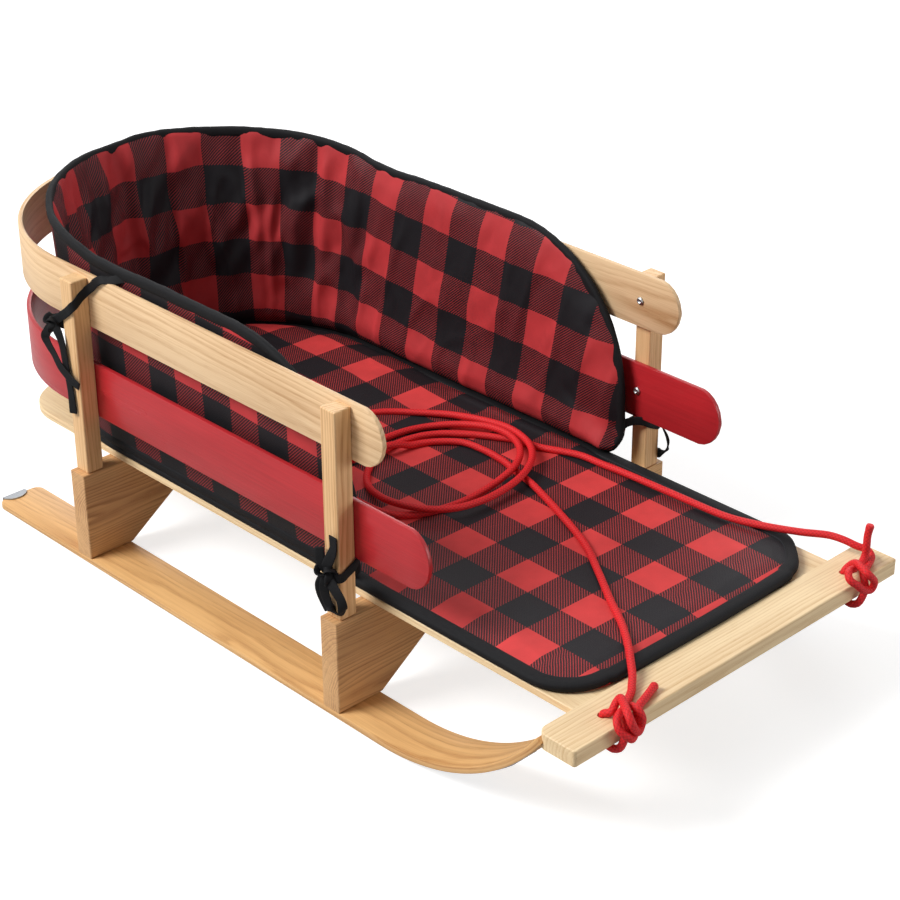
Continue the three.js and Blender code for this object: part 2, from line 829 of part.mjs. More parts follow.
// Front tie: a band round the post under the lower rail, sewn to the liner's front edge.
function frontTie(side) {
  const inner = postSize / 2 + seam;
  const outer = inner + tapeThickness;
  const ring = new THREE.Shape();
  ring.moveTo(-outer, -outer);
  ring.lineTo(outer, -outer);
  ring.lineTo(outer, outer);
  ring.lineTo(-outer, outer);
  const opening = new THREE.Path();
  opening.moveTo(-inner, -inner);
  opening.lineTo(-inner, inner);
  opening.lineTo(inner, inner);
  opening.lineTo(inner, -inner);
  ring.holes.push(opening);
  const band = board(ring, tapeWidth, 0).translate(side * postMidX, benchFrontY, frontTieZ - tapeWidth / 2);
  const linkY = benchFrontY + postSize / 2;
  const link = tape(
    [
      [side * (postMidX - outer + tapeThickness / 2), linkY, frontTieZ],
      [side * (wallOuterX(frontTieZ) + seam), linkY, frontTieZ],
    ],
    [0, 0, 1],
  );
  return join(
    band,
    link,
    tieKnot(side, benchFrontY, frontTieZ),
    tieTail(side, benchFrontY, frontTieZ, -frontTailUp),
    tieTail(side, benchFrontY, frontTieZ, frontTailDown),
  );
}

// Rear tie: over the upper rail, slanting down round the post, knotted behind it and back under the rail.
const slantShares = [0, 0.12, 0.42, 0.9, 1];

function rearTie(side) {
  const inside = railInnerX - tapeStand;
  const outside = railOuterX + tapeStand;
  const overZ = upperRailTopZ + tapeStand;
  const postFrontY = benchRearY - postSize / 2 - tapeStand;
  const postBackY = benchRearY + postSize / 2 + tapeStand;
  const postSideX = postOuterX + tapeStand;
  const hookY = postFrontY - tapeWidth;
  const hookZ = upperRailTopZ - tieHookDrop;
  const knotX = postOuterX + seam + tieKnotDepth / 2;
  const knotY = postBackY + tieKnotWidth / 2;
  const underZ = upperRailTopZ - upperRailHeight - seam - tapeWidth / 2;
  const place = ([x, y, z]) => [side * x, y, z];
  const slantZ = slantShares.map((share) => hookZ + (rearTieZ - hookZ) * share);
  const hook = [
    [inside, hookY, upperRailMidZ],
    [inside, hookY, overZ],
    [outside, hookY, overZ],
    [outside, hookY, hookZ - tapeWidth],
  ];
  const slant = [
    [outside, hookY - tapeWidth / 2, slantZ[0]],
    [outside, postFrontY, slantZ[1]],
    [postSideX, postFrontY, slantZ[2]],
    [postSideX, postBackY, slantZ[3]],
    [knotX, knotY, slantZ[4]],
  ];
  const under = [
    [knotX, postBackY + tapeThickness, rearTieZ],
    [outside + tapeWidth / 4, postBackY, underZ],
    [wallOuterX(underZ) + seam, postBackY, underZ],
  ];
  return join(
    tape(hook.map(place), [0, 1, 0]),
    tape(slant.map(place), [0, 0, 1]),
    tape(under.map(place), [0, 0, 1]),
    tieKnot(side, knotY, rearTieZ),
    tieTail(side, knotY, rearTieZ, rearTailLong),
    tieTail(side, knotY + tapeWidth / 2, rearTieZ, rearTailShort),
  );
}

// Loose coil on the seat: reach and lift follow shares chosen at every twelfth of a turn.
const coilFirstTwelfth = -1;
const coilTurns = [-0.07, 2.24];
const coilReachShares = [
  1.108, 0.857, 0.762, 0.788, 0.776, 0.724, 0.726, 0.783, 0.923, 1.056, 0.995, 0.984, 0.964, 0.946, 1.033, 1.334,
  1.713, 1.459, 1.069, 0.952, 0.991, 0.859, 0.782, 0.83, 0.851, 0.859, 0.906, 0.98, 0.98, 0.98, 0.98,
];
const coilLiftShares = [
  0, 0, 0, 0, 0, 0, 0, 0.5, 1, 1, 0.8, 1, 1, 1, 0.6, 0,
  0, 0, 0, 0, 0, 0, 0.3, 1, 1, 1, 0.5, 0, 0, 0, 0,
];

// A smooth value between shares: a cubic through the four nearest.
function smoothShare(shares, place) {
  const at = Math.floor(place);
  const t = place - at;
  const [a, b, c, d] = [-1, 0, 1, 2].map((step) => shares[Math.min(Math.max(at + step, 0), shares.length - 1)]);
  return b + (t / 2) * (c - a + t * (2 * a - 5 * b + 4 * c - d + t * (3 * (b - c) + d - a)));
}

function coilPoint(turn) {
  const place = turn * 12 - coilFirstTwelfth;
  const reach = smoothShare(coilReachShares, place);
  const lift = Math.min(Math.max(smoothShare(coilLiftShares, place), 0), 1);
  const angle = turn * Math.PI * 2;
  return new THREE.Vector3(
    coilCentre[0] + coilHalfLength * reach * Math.cos(angle),
    coilCentre[1] + coilHalfWidth * reach * Math.sin(angle),
    ropeOnPadZ + coilLift * lift,
  );
}

// The coil's strand, with a straight diameter at each end.
const coilSteps = Math.ceil((coilTurns[1] - coilTurns[0]) * coilStepsPerTurn);
const coilWay = [];
for (let i = 0; i <= coilSteps; i++) {
  coilWay.push(coilPoint(coilTurns[0] + ((coilTurns[1] - coilTurns[0]) * i) / coilSteps));
}
const coilStartWay = coilWay[0].clone().sub(coilWay[1]).normalize();
const coilEndWay = coilWay.at(-1).clone().sub(coilWay.at(-2)).normalize();
const coilStart = coilWay[0].clone().addScaledVector(coilStartWay, ropeDiameter);
const coilEnd = coilWay.at(-1).clone().addScaledVector(coilEndWay, ropeDiameter);
coilWay.unshift(coilStart);
coilWay.push(coilEnd);

// The least gap of the coil to itself, measured between points along its strand.
function leastGap(way) {
  const pointsPerStep = 8;
  const points = [];
  for (let i = 0; i + 1 < way.length; i++) {
    for (let k = 0; k < pointsPerStep; k++) points.push(way[i].clone().lerp(way[i + 1], k / pointsPerStep));
  }
  const apart = 3 * pointsPerStep;
  let least = Infinity;
  for (let i = 0; i < points.length; i++) {
    for (let k = i + apart; k < points.length; k++) least = Math.min(least, points[i].distanceTo(points[k]));
  }
  return least - ropeDiameter;
}

// Knots, as places behind the crossbar's front face and over its top: the strand runs down through a ring of its own end, round the front
// edge, up out of the hole and back through the ring, and ends in a short tail.
const knotRoutes = {
  left: {
    strand: [
      [-126, 19, 8], [-137, 12, 11], [-147, 3.5, 10.5], [-153.5, -3.5, 4.5], [-157, -6.4, -5],
      [-161, -6.2, -13], [-164, -4.2, -18.7], [-165, 2, -21.7], [-163, 11, -22.7], [-160.6, 17.5, -21.5],
      [-160, 19.5, -16], [-160, 19.5, -3], [-159, 18, 3.5], [-154, 13, 6], [-149, 10, 9],
    ],
    ring: [
      [-155, 14, 6], [-148.5, 11.5, 12], [-153, 5, 14.5], [-161, -2.5, 9], [-164.5, -7.5, 1],
      [-159, -11.5, -7], [-150, -11.5, -8.5], [-144, -8.5, -3], [-141.5, -2, 5.5], [-135, 4, 5],
      [-120, 9, 4.4], [-102, 14, 4.2],
    ],
  },
  right: {
    strand: [
      [183, 31, 18], [181, 21, 19.5], [177, 11, 17], [170, 3, 11.5], [162, -4, 4.5], [158.5, -6.4, -5],
      [155, -6.2, -13], [151.5, -4.2, -18.7], [151, 2, -21.7], [154, 11, -22.7], [158.8, 17.5, -21.5],
      [160, 19.5, -16], [160, 19.5, -3], [159.5, 18, 3.5], [157, 13, 6], [157, 9, 9],
    ],
    ring: [
      [157, 14, 5], [159, 13.5, 11.5], [165, 10.5, 15], [160, 2.5, 14], [151, -4.5, 8], [151.5, -10, -1],
      [160, -12, -6], [168.5, -10, -3], [172.5, -4.5, 4], [176, 3, 9], [182, 8, 14], [182.5, 12, 21],
      [183, 13.5, 31], [185.3, 13, 42],
    ],
  },
};
const knotStep = 5.5;

function overBar([x, y, z]) {
  return [x, frontY + y, crossbarTopZ + z];
}

function knot(name) {
  const strands = Object.values(knotRoutes[name]).map((route) => {
    const points = route.map(overBar);
    return cordAlong(points, ropeDiameter, cordSteps(points, knotStep), ropeSides);
  });
  return join(...strands);
}

// Free stretches, as heights over a strand that lies on the seat: the right one runs from its knot to the coil's
// start, and the left one from the coil's end through a small turn and under the coil to its knot.
const rightRoute = [
  [181, -402, 5.1], [170, -378.2, 3.1], [157, -345, 1.2], [147.5, -310, 0], [144.3, -250, 0], [142.3, -188.8, 0],
  [140, -158.8, 0], [138, -130.9, 0], [131, -112, 0],
];
const leftRoute = [
  [2, 34.5, 0], [-9, 38.5, 0], [-21, 37.5, 0], [-30, 29, 0], [-30, 17.5, 1], [-21, 11, 5], [-8, 8.2, 7.8],
  [6, 5.6, 7.9], [18, 3, 6], [32, 0, 1], [46.3, -4.1, 0], [62.4, -16, 0], [74.8, -31.9, 0], [78.1, -56.9, 0],
  [75.5, -87.4, 0], [70.5, -105.3, 0], [63.3, -135.9, 0], [55.7, -157.5, 0], [41.4, -194.1, 0], [15.6, -251.5, 0],
  [-10, -291, 0], [-37.9, -331.4, 0], [-60.4, -365.9, 0], [-85.1, -396.3, 0], [-97, -409, -1], [-108, -421, -4],
];

function overSeat([x, y, lift]) {
  return new THREE.Vector3(x, y, ropeOnPadZ + lift);
}

// The place past an end, in line with it: the gap first, then a straight diameter.
function leaveEnd(end, inner) {
  const way = end.clone().sub(inner).normalize();
  return [end.clone().addScaledVector(way, ropeGap), end.clone().addScaledVector(way, ropeGap + ropeDiameter)];
}

function stretch(fromEnd, route, toEnd) {
  const points = [...fromEnd, ...route.map(overSeat), ...toEnd.reverse()].map((point) => point.toArray());
  return cordAlong(points, ropeDiameter, cordSteps(points, ropeStep), ropeSides);
}

function knotEnd(name) {
  const [end, inner] = knotRoutes[name].strand.map((point) => new THREE.Vector3(...overBar(point)));
  return leaveEnd(end, inner);
}

// The assembly
for (const [name, side] of sides) {
  add(`runner_${name}`, runner(side), ashWood);
  add(`runner_shoe_${name}`, shoe(side), steel);
}
for (const [name, y] of ends) add(`bench_${name}`, bench(y), ashWood);
for (let i = 0; i < deckBoards; i++) add(`deck_board_${i + 1}`, deckBoard(i), paleWood);
add("front_crossbar", crossbar(), paleWood);
for (const [end, y] of ends) {
  for (const [name, side] of sides) {
    add(`post_${end}_${name}`, post(side, y), ashWood);
    const dowel = peg(dowelDiameter, dowelLength, "z", side * postMidX, y, benchTopZ);
    add(`post_dowel_${end}_${name}`, dowel, paleWood);
    const screw = flatScrew(footScrew).rotateX(Math.PI).translate(side * runnerMidX, y, runnerBottomZ);
    add(`foot_screw_${end}_${name}`, screw, steel);
  }
}
for (let i = 0; i < deckBoards; i++) {
  for (const [end, y] of ends) {
    add(`deck_screw_${end}_${i + 1}`, flatScrew(deckScrew).translate(boardMidX(i), y, deckTopZ), steel);
  }
}
add("upper_rail", rail(upperRailTopZ, upperRailHeight, postFrontFaceY - upperRailReach), ashWood);
add("lower_rail", rail(lowerRailTopZ, lowerRailHeight, postFrontFaceY - lowerRailReach), redPaint);
for (const [rank, z] of [["upper", upperRailMidZ], ["lower", lowerRailMidZ]]) {
  for (const [end, y] of ends) {
    for (const [name, side] of sides) {
      const screw = roundScrew(railScrew)
        .rotateY((-side * Math.PI) / 2)
        .translate(side * (railInnerX - seam), y, z);
      add(`rail_screw_${rank}_${end}_${name}`, screw, steel);
    }
  }
}
add("seat_pad", seatPad(), checkCloth);
add("liner_wall", linerWall(), checkCloth);
for (const [name, side] of sides) {
  add(`tie_front_${name}`, frontTie(side), blackTape);
  add(`tie_rear_${name}`, rearTie(side), blackTape);
}
add("rope_knot_left", knot("left"), redRope);
add("rope_knot_right", knot("right"), redRope);
add(
  "rope_right_stretch",
  stretch(knotEnd("right"), rightRoute, leaveEnd(coilWay[0], coilWay[1])),
  redRope,
);
add("rope_left_stretch", stretch(leaveEnd(coilWay.at(-1), coilWay.at(-2)), leftRoute, knotEnd("left")), redRope);
const coilPoints = coilWay.map((point) => point.toArray());
add("rope_coil", cordAlong(coilPoints, ropeDiameter, coilPoints.length - 1, coilSides), redRope);
console.log(`least gap of the coil to itself ${leastGap(coilWay).toFixed(2)} mm`);

export default sled;
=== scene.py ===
"""A baby pull sled: bent rails and runners, a slatted deck, a checked liner and a pull rope."""

import logging
import math
from bisect import bisect_right
from dataclasses import dataclass, field
from enum import Enum
from typing import Callable, Sequence

import bmesh
import bpy
from mathutils import Matrix, Vector, noise


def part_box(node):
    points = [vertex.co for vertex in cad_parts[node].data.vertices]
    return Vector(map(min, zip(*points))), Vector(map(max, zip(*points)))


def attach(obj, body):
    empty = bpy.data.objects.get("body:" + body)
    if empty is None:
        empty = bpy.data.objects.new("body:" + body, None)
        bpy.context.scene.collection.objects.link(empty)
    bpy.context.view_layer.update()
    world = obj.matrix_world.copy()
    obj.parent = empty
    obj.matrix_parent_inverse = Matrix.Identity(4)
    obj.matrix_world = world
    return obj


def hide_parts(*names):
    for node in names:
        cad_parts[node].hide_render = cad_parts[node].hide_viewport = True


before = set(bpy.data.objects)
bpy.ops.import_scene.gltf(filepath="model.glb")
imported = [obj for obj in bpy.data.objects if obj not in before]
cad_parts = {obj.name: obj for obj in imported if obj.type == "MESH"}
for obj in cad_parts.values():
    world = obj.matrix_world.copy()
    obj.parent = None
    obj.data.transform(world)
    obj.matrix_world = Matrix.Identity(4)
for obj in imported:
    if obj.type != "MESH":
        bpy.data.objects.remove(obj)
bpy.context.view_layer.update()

log = logging.getLogger("sled")

MM = 0.001
BODY = "root"
SIDES = (("left", -1), ("right", 1))
RIGHT_ANGLE = math.pi / 2
UP = (0.0, 0.0, 1.0)
WHITE = (1.0, 1.0, 1.0, 1.0)

Pair = tuple[float, float]
Point = tuple[float, float, float]
Colour = tuple[float, float, float, float]


def paint(code: str) -> Colour:
    """Turn a colour written as on screen into the linear colour that a shader takes.

    Args:
        code: Six hexadecimal digits, red, green and blue.

    Returns:
        The linear colour with full opacity.
    """
    parts = [int(code[i : i + 2], 16) / 255 for i in (0, 2, 4)]
    linear = [c / 12.92 if c <= 0.04045 else ((c + 0.055) / 1.055) ** 2.4 for c in parts]
    return (linear[0], linear[1], linear[2], 1.0)


def ease(low: float, high: float, value: float) -> float:
    """Rise smoothly from 0 at low to 1 at high.

    Args:
        low: Where the rise starts.
        high: Where it ends; it may be below low.
        value: The place between them.

    Returns:
        The share risen.
    """
    share = min(max((value - low) / (high - low), 0.0), 1.0)
    return share * share * (3 - 2 * share)


def hill(value: float, middle: float, width: float) -> float:
    """Give the height of a smooth hill, 1 in its middle and about a third a width away."""
    return math.exp(-(((value - middle) / width) ** 2))


def wrinkle(x: float, y: float, z: float) -> float:
    """Read smooth noise of about one feature a unit, from -1 to 1."""
    return noise.noise(Vector((x, y, z)))


def metres(*lengths: float) -> tuple[float, ...]:
    """Turn lengths in millimetres into metres."""
    return tuple(length * MM for length in lengths)


def smooth_line(points: Sequence[Vector], step: float) -> list[Vector]:
    """Draw one smooth curve through points.

    Args:
        points: The places it passes, in order.
        step: Length between the points that come back.

    Returns:
        Points along a centripetal Catmull-Rom curve.
    """
    ends = [points[0] * 2 - points[1], *points, points[-1] * 2 - points[-2]]
    line: list[Vector] = []
    for a, b, c, d in zip(ends, ends[1:], ends[2:], ends[3:]):
        knots = [0.0]
        for p, q in ((a, b), (b, c), (c, d)):
            knots.append(knots[-1] + max((q - p).length, 1e-9) ** 0.5)
        count = max(1, round((c - b).length / step))
        for i in range(count):
            t = knots[1] + (knots[2] - knots[1]) * i / count

            def between(p: Vector, q: Vector, low: float, high: float) -> Vector:
                """Give the point at t on the stretch between two knots."""
                return p * ((high - t) / (high - low)) + q * ((t - low) / (high - low))

            ab = between(a, b, knots[0], knots[1])
            bc = between(b, c, knots[1], knots[2])
            cd = between(c, d, knots[2], knots[3])
            abc = between(ab, bc, knots[0], knots[2])
            bcd = between(bc, cd, knots[1], knots[3])
            line.append(between(abc, bcd, knots[1], knots[2]))
    line.append(points[-1].copy())
    return line


def line_length(line: Sequence[Vector]) -> float:
    """Add up the lengths between neighbouring points."""
    return sum((b - a).length for a, b in zip(line, line[1:]))


def math_node(
    operation: str, reflected: bool = False
) -> Callable[["Wire", "Wire | float"], "Wire"]:
    """Make an operator of the Wire class.

    Args:
        operation: The Math node's operation.
        reflected: Whether the other value comes first.

    Returns:
        The operator's method.
    """

    def operator(self: "Wire", other: "Wire | float") -> "Wire":
        """Put the Math node on both values."""
        return self.sum(operation, *((other, self) if reflected else (self, other)))

    return operator


class Wire:
    """A number inside a shader, with the sums that a finish writes on it."""

    def __init__(self, recipe: "Recipe", socket: bpy.types.NodeSocket | None) -> None:
        """Keep the recipe that the socket belongs to; an output node leaves no socket."""
        self.recipe = recipe
        self.socket = socket

    def sum(self, operation: str, *values: "Wire | float") -> "Wire":
        """Add a Math node.

        Args:
            operation: The Math node's operation.
            values: Its first value, and its second where it has one.

        Returns:
            The result.
        """
        return self.recipe.node("ShaderNodeMath", {"operation": operation}, dict(enumerate(values)))

    __add__ = __radd__ = math_node("ADD")
    __sub__ = math_node("SUBTRACT")
    __rsub__ = math_node("SUBTRACT", reflected=True)
    __mul__ = __rmul__ = math_node("MULTIPLY")
    __pow__ = math_node("POWER")
    __mod__ = math_node("FLOORED_MODULO")
    __lt__ = math_node("LESS_THAN")
    __gt__ = math_node("GREATER_THAN")

    def floor(self) -> "Wire":
        """Round down."""
        return self.sum("FLOOR", self)

    def size(self) -> "Wire":
        """Drop the sign."""
        return self.sum("ABSOLUTE", self)

    def swing(self, amount: float) -> "Wire":
        """Turn a value of 0 to 1 into one of that amount round 0."""
        return (self - 0.5) * amount

    def wave(self, turns: float) -> "Wire":
        """Swing between -1 and 1, that many turns for each unit."""
        return self.sum("SINE", self * (turns * 2 * math.pi))


class Source(Enum):
    """What a finish reads its place from: the node's type, its settings and its output."""

    OBJECT = ("ShaderNodeTexCoord", {}, "Object")
    GRAIN = ("ShaderNodeAttribute", {"attribute_name": "grain"}, "Vector")
    CLOTH = ("ShaderNodeAttribute", {"attribute_name": "cloth"}, "Vector")
    RUN = ("ShaderNodeUVMap", {"uv_map": "run"}, "UV")


class Recipe:
    """The node tree of a finish or of the world."""

    def __init__(self, name: str, shelf: bpy.types.bpy_prop_collection | None = None) -> None:
        """Start an empty tree.

        Args:
            name: Its owner's name.
            shelf: Where the owner is kept, if it isn't a material.
        """
        self.owner = (bpy.data.materials if shelf is None else shelf).new(name)
        self.owner.use_nodes = True
        self.tree = self.owner.node_tree
        self.tree.nodes.clear()

    def node(
        self,
        kind: str,
        settings: dict[str, object] | None = None,
        inputs: dict[int | str, object] | None = None,
        output: int | str = 0,
    ) -> Wire:
        """Add a node.

        Args:
            kind: The node's type.
            settings: Its own settings, set first; "stops" fills a ramp with places and grey levels.
            inputs: Values or wires for its sockets, by index or name.
            output: Which of its outputs comes back.

        Returns:
            The wire that leaves it.
        """
        made = self.tree.nodes.new(kind)
        for key, value in (settings or {}).items():
            if key == "stops":
                self.fill_ramp(made.color_ramp, value)
            else:
                setattr(made, key, value)
        for key, value in (inputs or {}).items():
            if isinstance(value, Wire):
                self.tree.links.new(value.socket, made.inputs[key])
            else:
                made.inputs[key].default_value = value
        return Wire(self, made.outputs[output] if made.outputs else None)

    @staticmethod
    def fill_ramp(ramp: bpy.types.ColorRamp, stops: Sequence[Pair]) -> None:
        """Set a ramp's stops.

        Args:
            ramp: The ramp, with its two first stops.
            stops: Places and their grey levels, in order.
        """
        while len(ramp.elements) < len(stops):
            ramp.elements.new(0.5)
        for element, (place, level) in zip(ramp.elements, stops):
            element.position = place
            element.color = (level, level, level, 1.0)

    def ramp(self, value: Wire, *stops: Pair) -> Wire:
        """Read a value off a ramp."""
        return self.node("ShaderNodeValToRGB", {"stops": stops}, {0: value})

    def mix(self, share: Wire | float, first: Wire | Colour, second: Wire | Colour) -> Wire:
        """Blend two colours."""
        return self.node("ShaderNodeMix", {"data_type": "RGBA"}, {0: share, 6: first, 7: second}, 2)

    def place(self, source: Source) -> list[Wire]:
        """Read a place on the piece.

        Args:
            source: What it is read from.

        Returns:
            Its three numbers.
        """
        kind, settings, output = source.value
        vector = self.node(kind, settings, None, output)
        parts = self.node("ShaderNodeSeparateXYZ", None, {0: vector})
        return [Wire(self, socket) for socket in parts.socket.node.outputs]

    def cloud(
        self, place: Sequence[Wire | float], detail: float = 2.0, roughness: float = 0.5
    ) -> Wire:
        """Take soft noise of about one feature a unit.

        Args:
            place: The three numbers that it is read at.
            detail: How many finer layers it has.
            roughness: How strong they are.

        Returns:
            A value from 0 to 1.
        """
        vector = self.node("ShaderNodeCombineXYZ", None, dict(enumerate(place)))
        inputs = {"Vector": vector, "Scale": 1.0, "Detail": detail, "Roughness": roughness}
        return self.node("ShaderNodeTexNoise", None, inputs)

    def fibres(
        self,
        grain: Sequence[Wire],
        run: float,
        cross: float,
        detail: float,
        roughness: float = 0.5,
    ) -> Wire:
        """Take noise that is drawn out along the grain.

        Args:
            grain: Places along, across and through the board.
            run: How many features a metre it has along the grain.
            cross: How many it has across it.
            detail: How many finer layers it has.
            roughness: How strong they are.

        Returns:
            A value from 0 to 1.
        """
        along, across, depth = grain
        return self.cloud((along * run, across * cross, depth * cross), detail, roughness)

    def bump(self, height: Wire, depth: float, strength: float) -> Wire:
        """Turn a height into a normal.

        Args:
            height: Height from 0 to 1.
            depth: What 1 stands for, in metres.
            strength: How much of it shows.

        Returns:
            The normal.
        """
        inputs = {"Strength": strength, "Distance": depth, "Height": height}
        return self.node("ShaderNodeBump", None, inputs)

    def finish(
        self, colour: Wire, rough: Wire, normal: Wire, fixed: dict[str, float]
    ) -> bpy.types.Material:
        """Close a material's tree.

        Args:
            colour: Its base colour.
            rough: Its roughness.
            normal: Its normal.
            fixed: Values for the sockets that don't change over the surface.

        Returns:
            The material.
        """
        inputs = {"Base Color": colour, "Roughness": rough, "Normal": normal, **fixed}
        return self.close("Material", self.node("ShaderNodeBsdfPrincipled", None, inputs))

    def close(self, kind: str, surface: Wire) -> bpy.types.ID:
        """Send the surface out of a tree of that kind and give its owner."""
        self.node(f"ShaderNodeOutput{kind}", None, {0: surface})
        return self.owner


class Lie(Enum):
    """Which way a board's grain lies: its axis, then across it, then through it."""

    ACROSS_SLED = (0, 2, 1)
    ALONG_SLED = (1, 0, 2)
    UPRIGHT = (2, 0, 1)
    BENT = (0, 1, 2)


class Cut(Enum):
    """Where a board was sawn: its middle beside and before the log's heart, and its lean."""

    FLAT = (0.004, 0.036, 0.020)
    FLAT_LEFT = (0.013, 0.030, -0.026)
    RIFT = (0.034, 0.040, 0.010)
    RIFT_STEEP = (0.055, 0.030, -0.014)
    QUARTER = (0.062, 0.008, 0.008)


@dataclass(frozen=True)
class WoodFinish:
    """Clear varnished ash: growth rings, open pores, fine fibres and a slow change of tone."""

    name: str
    light: str
    dark: str
    ring: float = 0.0046
    contrast: float = 0.6
    gloss: float = 0.45
    coat: float = 0.06
    year: tuple[Pair, ...] = (
        (0.0, 0.3), (0.08, 0.95), (0.2, 1.0), (0.42, 0.42), (0.7, 0.1), (0.93, 0.0), (1.0, 0.3),
    )

    def make(
        self, piece: str, lie: Lie, cut: Cut, middle: Point = (0.0, 0.0, 0.0)
    ) -> bpy.types.Material:
        """Build the finish of one board.

        Args:
            piece: The board's name.
            lie: Which way the grain runs; bent wood reads its own unbent coordinates.
            cut: Where in the log the board was sawn.
            middle: The board's middle, in metres.

        Returns:
            The material.
        """
        r = Recipe(f"{self.name}_{piece}")
        axes = r.place(Source.GRAIN if lie is Lie.BENT else Source.OBJECT)
        grain = [axes[i] - middle[i] for i in lie.value]
        along, across, depth = grain
        beside, before, lean = cut.value
        wander = r.cloud((along * 3.2, across * 16.0, depth * 16.0 + beside * 40))
        waver = r.fibres(grain, 16.0, 70.0, 2.0)
        side = across + along * lean + beside
        deep = depth + along * (lean * 0.4) + before
        heart = (side * side + deep * deep) ** 0.5 + wander.swing(0.016) + waver.swing(0.0026)
        pace = r.cloud((heart * 75.0, 0.5, 3.5), 1.0)
        early = r.ramp(((heart + pace.swing(0.014)) * (1 / self.ring)) % 1.0, *self.year)
        vigour = r.cloud((heart * 90.0, heart * 17.0, 0.5), 1.0)
        streak = r.fibres(grain, 16.0, 900.0, 4.0, 0.68)
        broad = r.fibres(grain, 7.0, 190.0, 2.0)
        pore = r.ramp(r.fibres(grain, 70.0, 2600.0, 1.0), (0.56, 0.0), (0.7, 1.0))
        pores = pore * (early * 0.85 + 0.08)
        tone = r.fibres(grain, 5.0, 22.0, 1.0)
        rings = early * (vigour * 1.3 - 0.15) * self.contrast
        shade = rings * 0.8 + streak.swing(0.75) + broad.swing(0.5) + tone.swing(0.7)
        share = r.ramp(shade + pores * 0.28 + 0.08, (0.0, 0.0), (1.0, 1.0))
        return r.finish(
            r.mix(share, paint(self.light), paint(self.dark)),
            self.gloss + streak.swing(0.2) + pores * 0.15,
            r.bump(1.0 - (pores * 0.7 + early * 0.3), 0.0002, 0.5),
            {"Coat Weight": self.coat, "Coat Roughness": 0.25, "Specular IOR Level": 0.3},
        )


@dataclass(frozen=True)
class PaintFinish:
    """Glossy red stain on bent wood, with the grain just showing through."""

    name: str = "red_paint"
    colour: str = "be2b31"
    deep: str = "951a20"

    def make(self) -> bpy.types.Material:
        """Build the material.

        Returns:
            The material.
        """
        r = Recipe(self.name)
        grain = r.place(Source.GRAIN)
        streak = r.fibres(grain, 14.0, 620.0, 3.0, 0.62)
        pool = r.fibres(grain, 9.0, 34.0, 2.0)
        pore = r.ramp(r.fibres(grain, 60.0, 2300.0, 1.0), (0.6, 0.0), (0.75, 1.0))
        shade = streak.swing(0.9) + pool.swing(0.7) + pore * 0.25 + 0.28
        return r.finish(
            r.mix(r.ramp(shade, (0.0, 0.0), (1.0, 1.0)), paint(self.colour), paint(self.deep)),
            0.3 + pool.swing(0.16) + pore * 0.1,
            r.bump(1.0 - pore * 0.6 - streak * 0.4, 0.00016, 0.5),
            {"Coat Weight": 0.14, "Coat Roughness": 0.16, "Specular IOR Level": 0.3},
        )


@dataclass(frozen=True)
class CheckFinish:
    """Red and black check woven as a twill, so the mixed squares show slanting broken lines; there
    painted shade darkens the sunk threads and the gaps between threads.
    """

    name: str
    red: str
    black: str = "131216"
    worn: str = "120d10"
    square: float = 0.0404
    thread: float = 0.0008

    def make(self) -> bpy.types.Material:
        """Build the material.

        Returns:
            The material.
        """
        r = Recipe(self.name)
        u, v, _ = r.place(Source.CLOTH)
        counts, stripes, crowns = [], [], []
        for run in (u, v):
            threads = run * (1 / self.thread)
            count = threads.floor()
            middle = count * self.thread + self.thread * 0.5
            counts.append(count)
            stripes.append((middle * (0.5 / self.square)) % 1.0 < 0.5)
            crowns.append(1.0 - (threads % 1.0 - 0.5).size() * 2.0)
        weave = counts[0] + counts[1]
        over = weave % 4.0 < 2.0
        red = over * stripes[0] + (1.0 - over) * stripes[1]
        crown = over * crowns[0] + (1.0 - over) * crowns[1]
        mixed = (stripes[0] - stripes[1]).size()
        # Painted shade of the weave: in the mixed squares the threads that dip under are darkened
        # strongly, and the others a little.
        shaded_sunk = weave % 2.0 > 0.5
        fade = r.cloud((u * 30.0, v * 30.0, 0.0), 3.0)
        fleck = r.cloud((u * 1800.0, v * 1800.0, 0.0), 1.0)
        # Painted shade between threads: the mixed squares darken towards each thread's edges.
        gap = r.ramp(crown, (0.0, 0.35), (0.45, 1.0))
        level = red * (1.0 - mixed * (shaded_sunk * 0.76 + 0.12)) * (0.9 + fleck * 0.2)
        level = level * (1.0 - mixed * (1.0 - gap))
        colour = r.mix(level, paint(self.black), paint(self.red))
        return r.finish(
            r.mix(fade.swing(0.5) + 0.12, colour, paint(self.worn)),
            0.62 + fleck.swing(0.2),
            r.bump(crown * 0.8 + fleck * 0.2, 0.00018, 0.45),
            {"Specular IOR Level": 0.22},
        )


@dataclass(frozen=True)
class TapeFinish:
    """Black woven binding tape, with fine ribs across it and a sewn line near its edge; its low
    parts are painted darker as painted shade.
    """

    name: str
    colour: str = "17171a"
    # Colour of the painted shade in the tape's low parts.
    gap: str = "0b0b0d"
    thread: str = "242428"
    stitch: float | None = None

    def make(self) -> bpy.types.Material:
        """Build the material.

        Returns:
            The material.
        """
        r = Recipe(self.name)
        u, v, _ = r.place(Source.RUN)
        rib = (u.wave(1 / 0.0011) + 1.0) * 0.5
        cross = (v.wave(1 / 0.0008) + 1.0) * 0.5
        fuzz = r.cloud((u * 900.0, v * 900.0, 0.0))
        height = rib * 0.45 + cross * 0.25 + fuzz * 0.3
        # Painted shade: the tape is darker where its ribs and threads are low.
        colour = r.mix(height * 0.55, paint(self.gap), paint(self.colour))
        if self.stitch is not None:
            off = (v - self.stitch).size()
            sewn = (off < 0.00055) * ((u * (1 / 0.0034)) % 1.0 < 0.72)
            height = height * (1.0 - (off < 0.0011) * 0.6) + sewn * 0.7
            colour = r.mix(sewn, colour, paint(self.thread))
        rough = 0.72 + fuzz.swing(0.2)
        return r.finish(colour, rough, r.bump(height, 0.00025, 0.7), {"Specular IOR Level": 0.18})


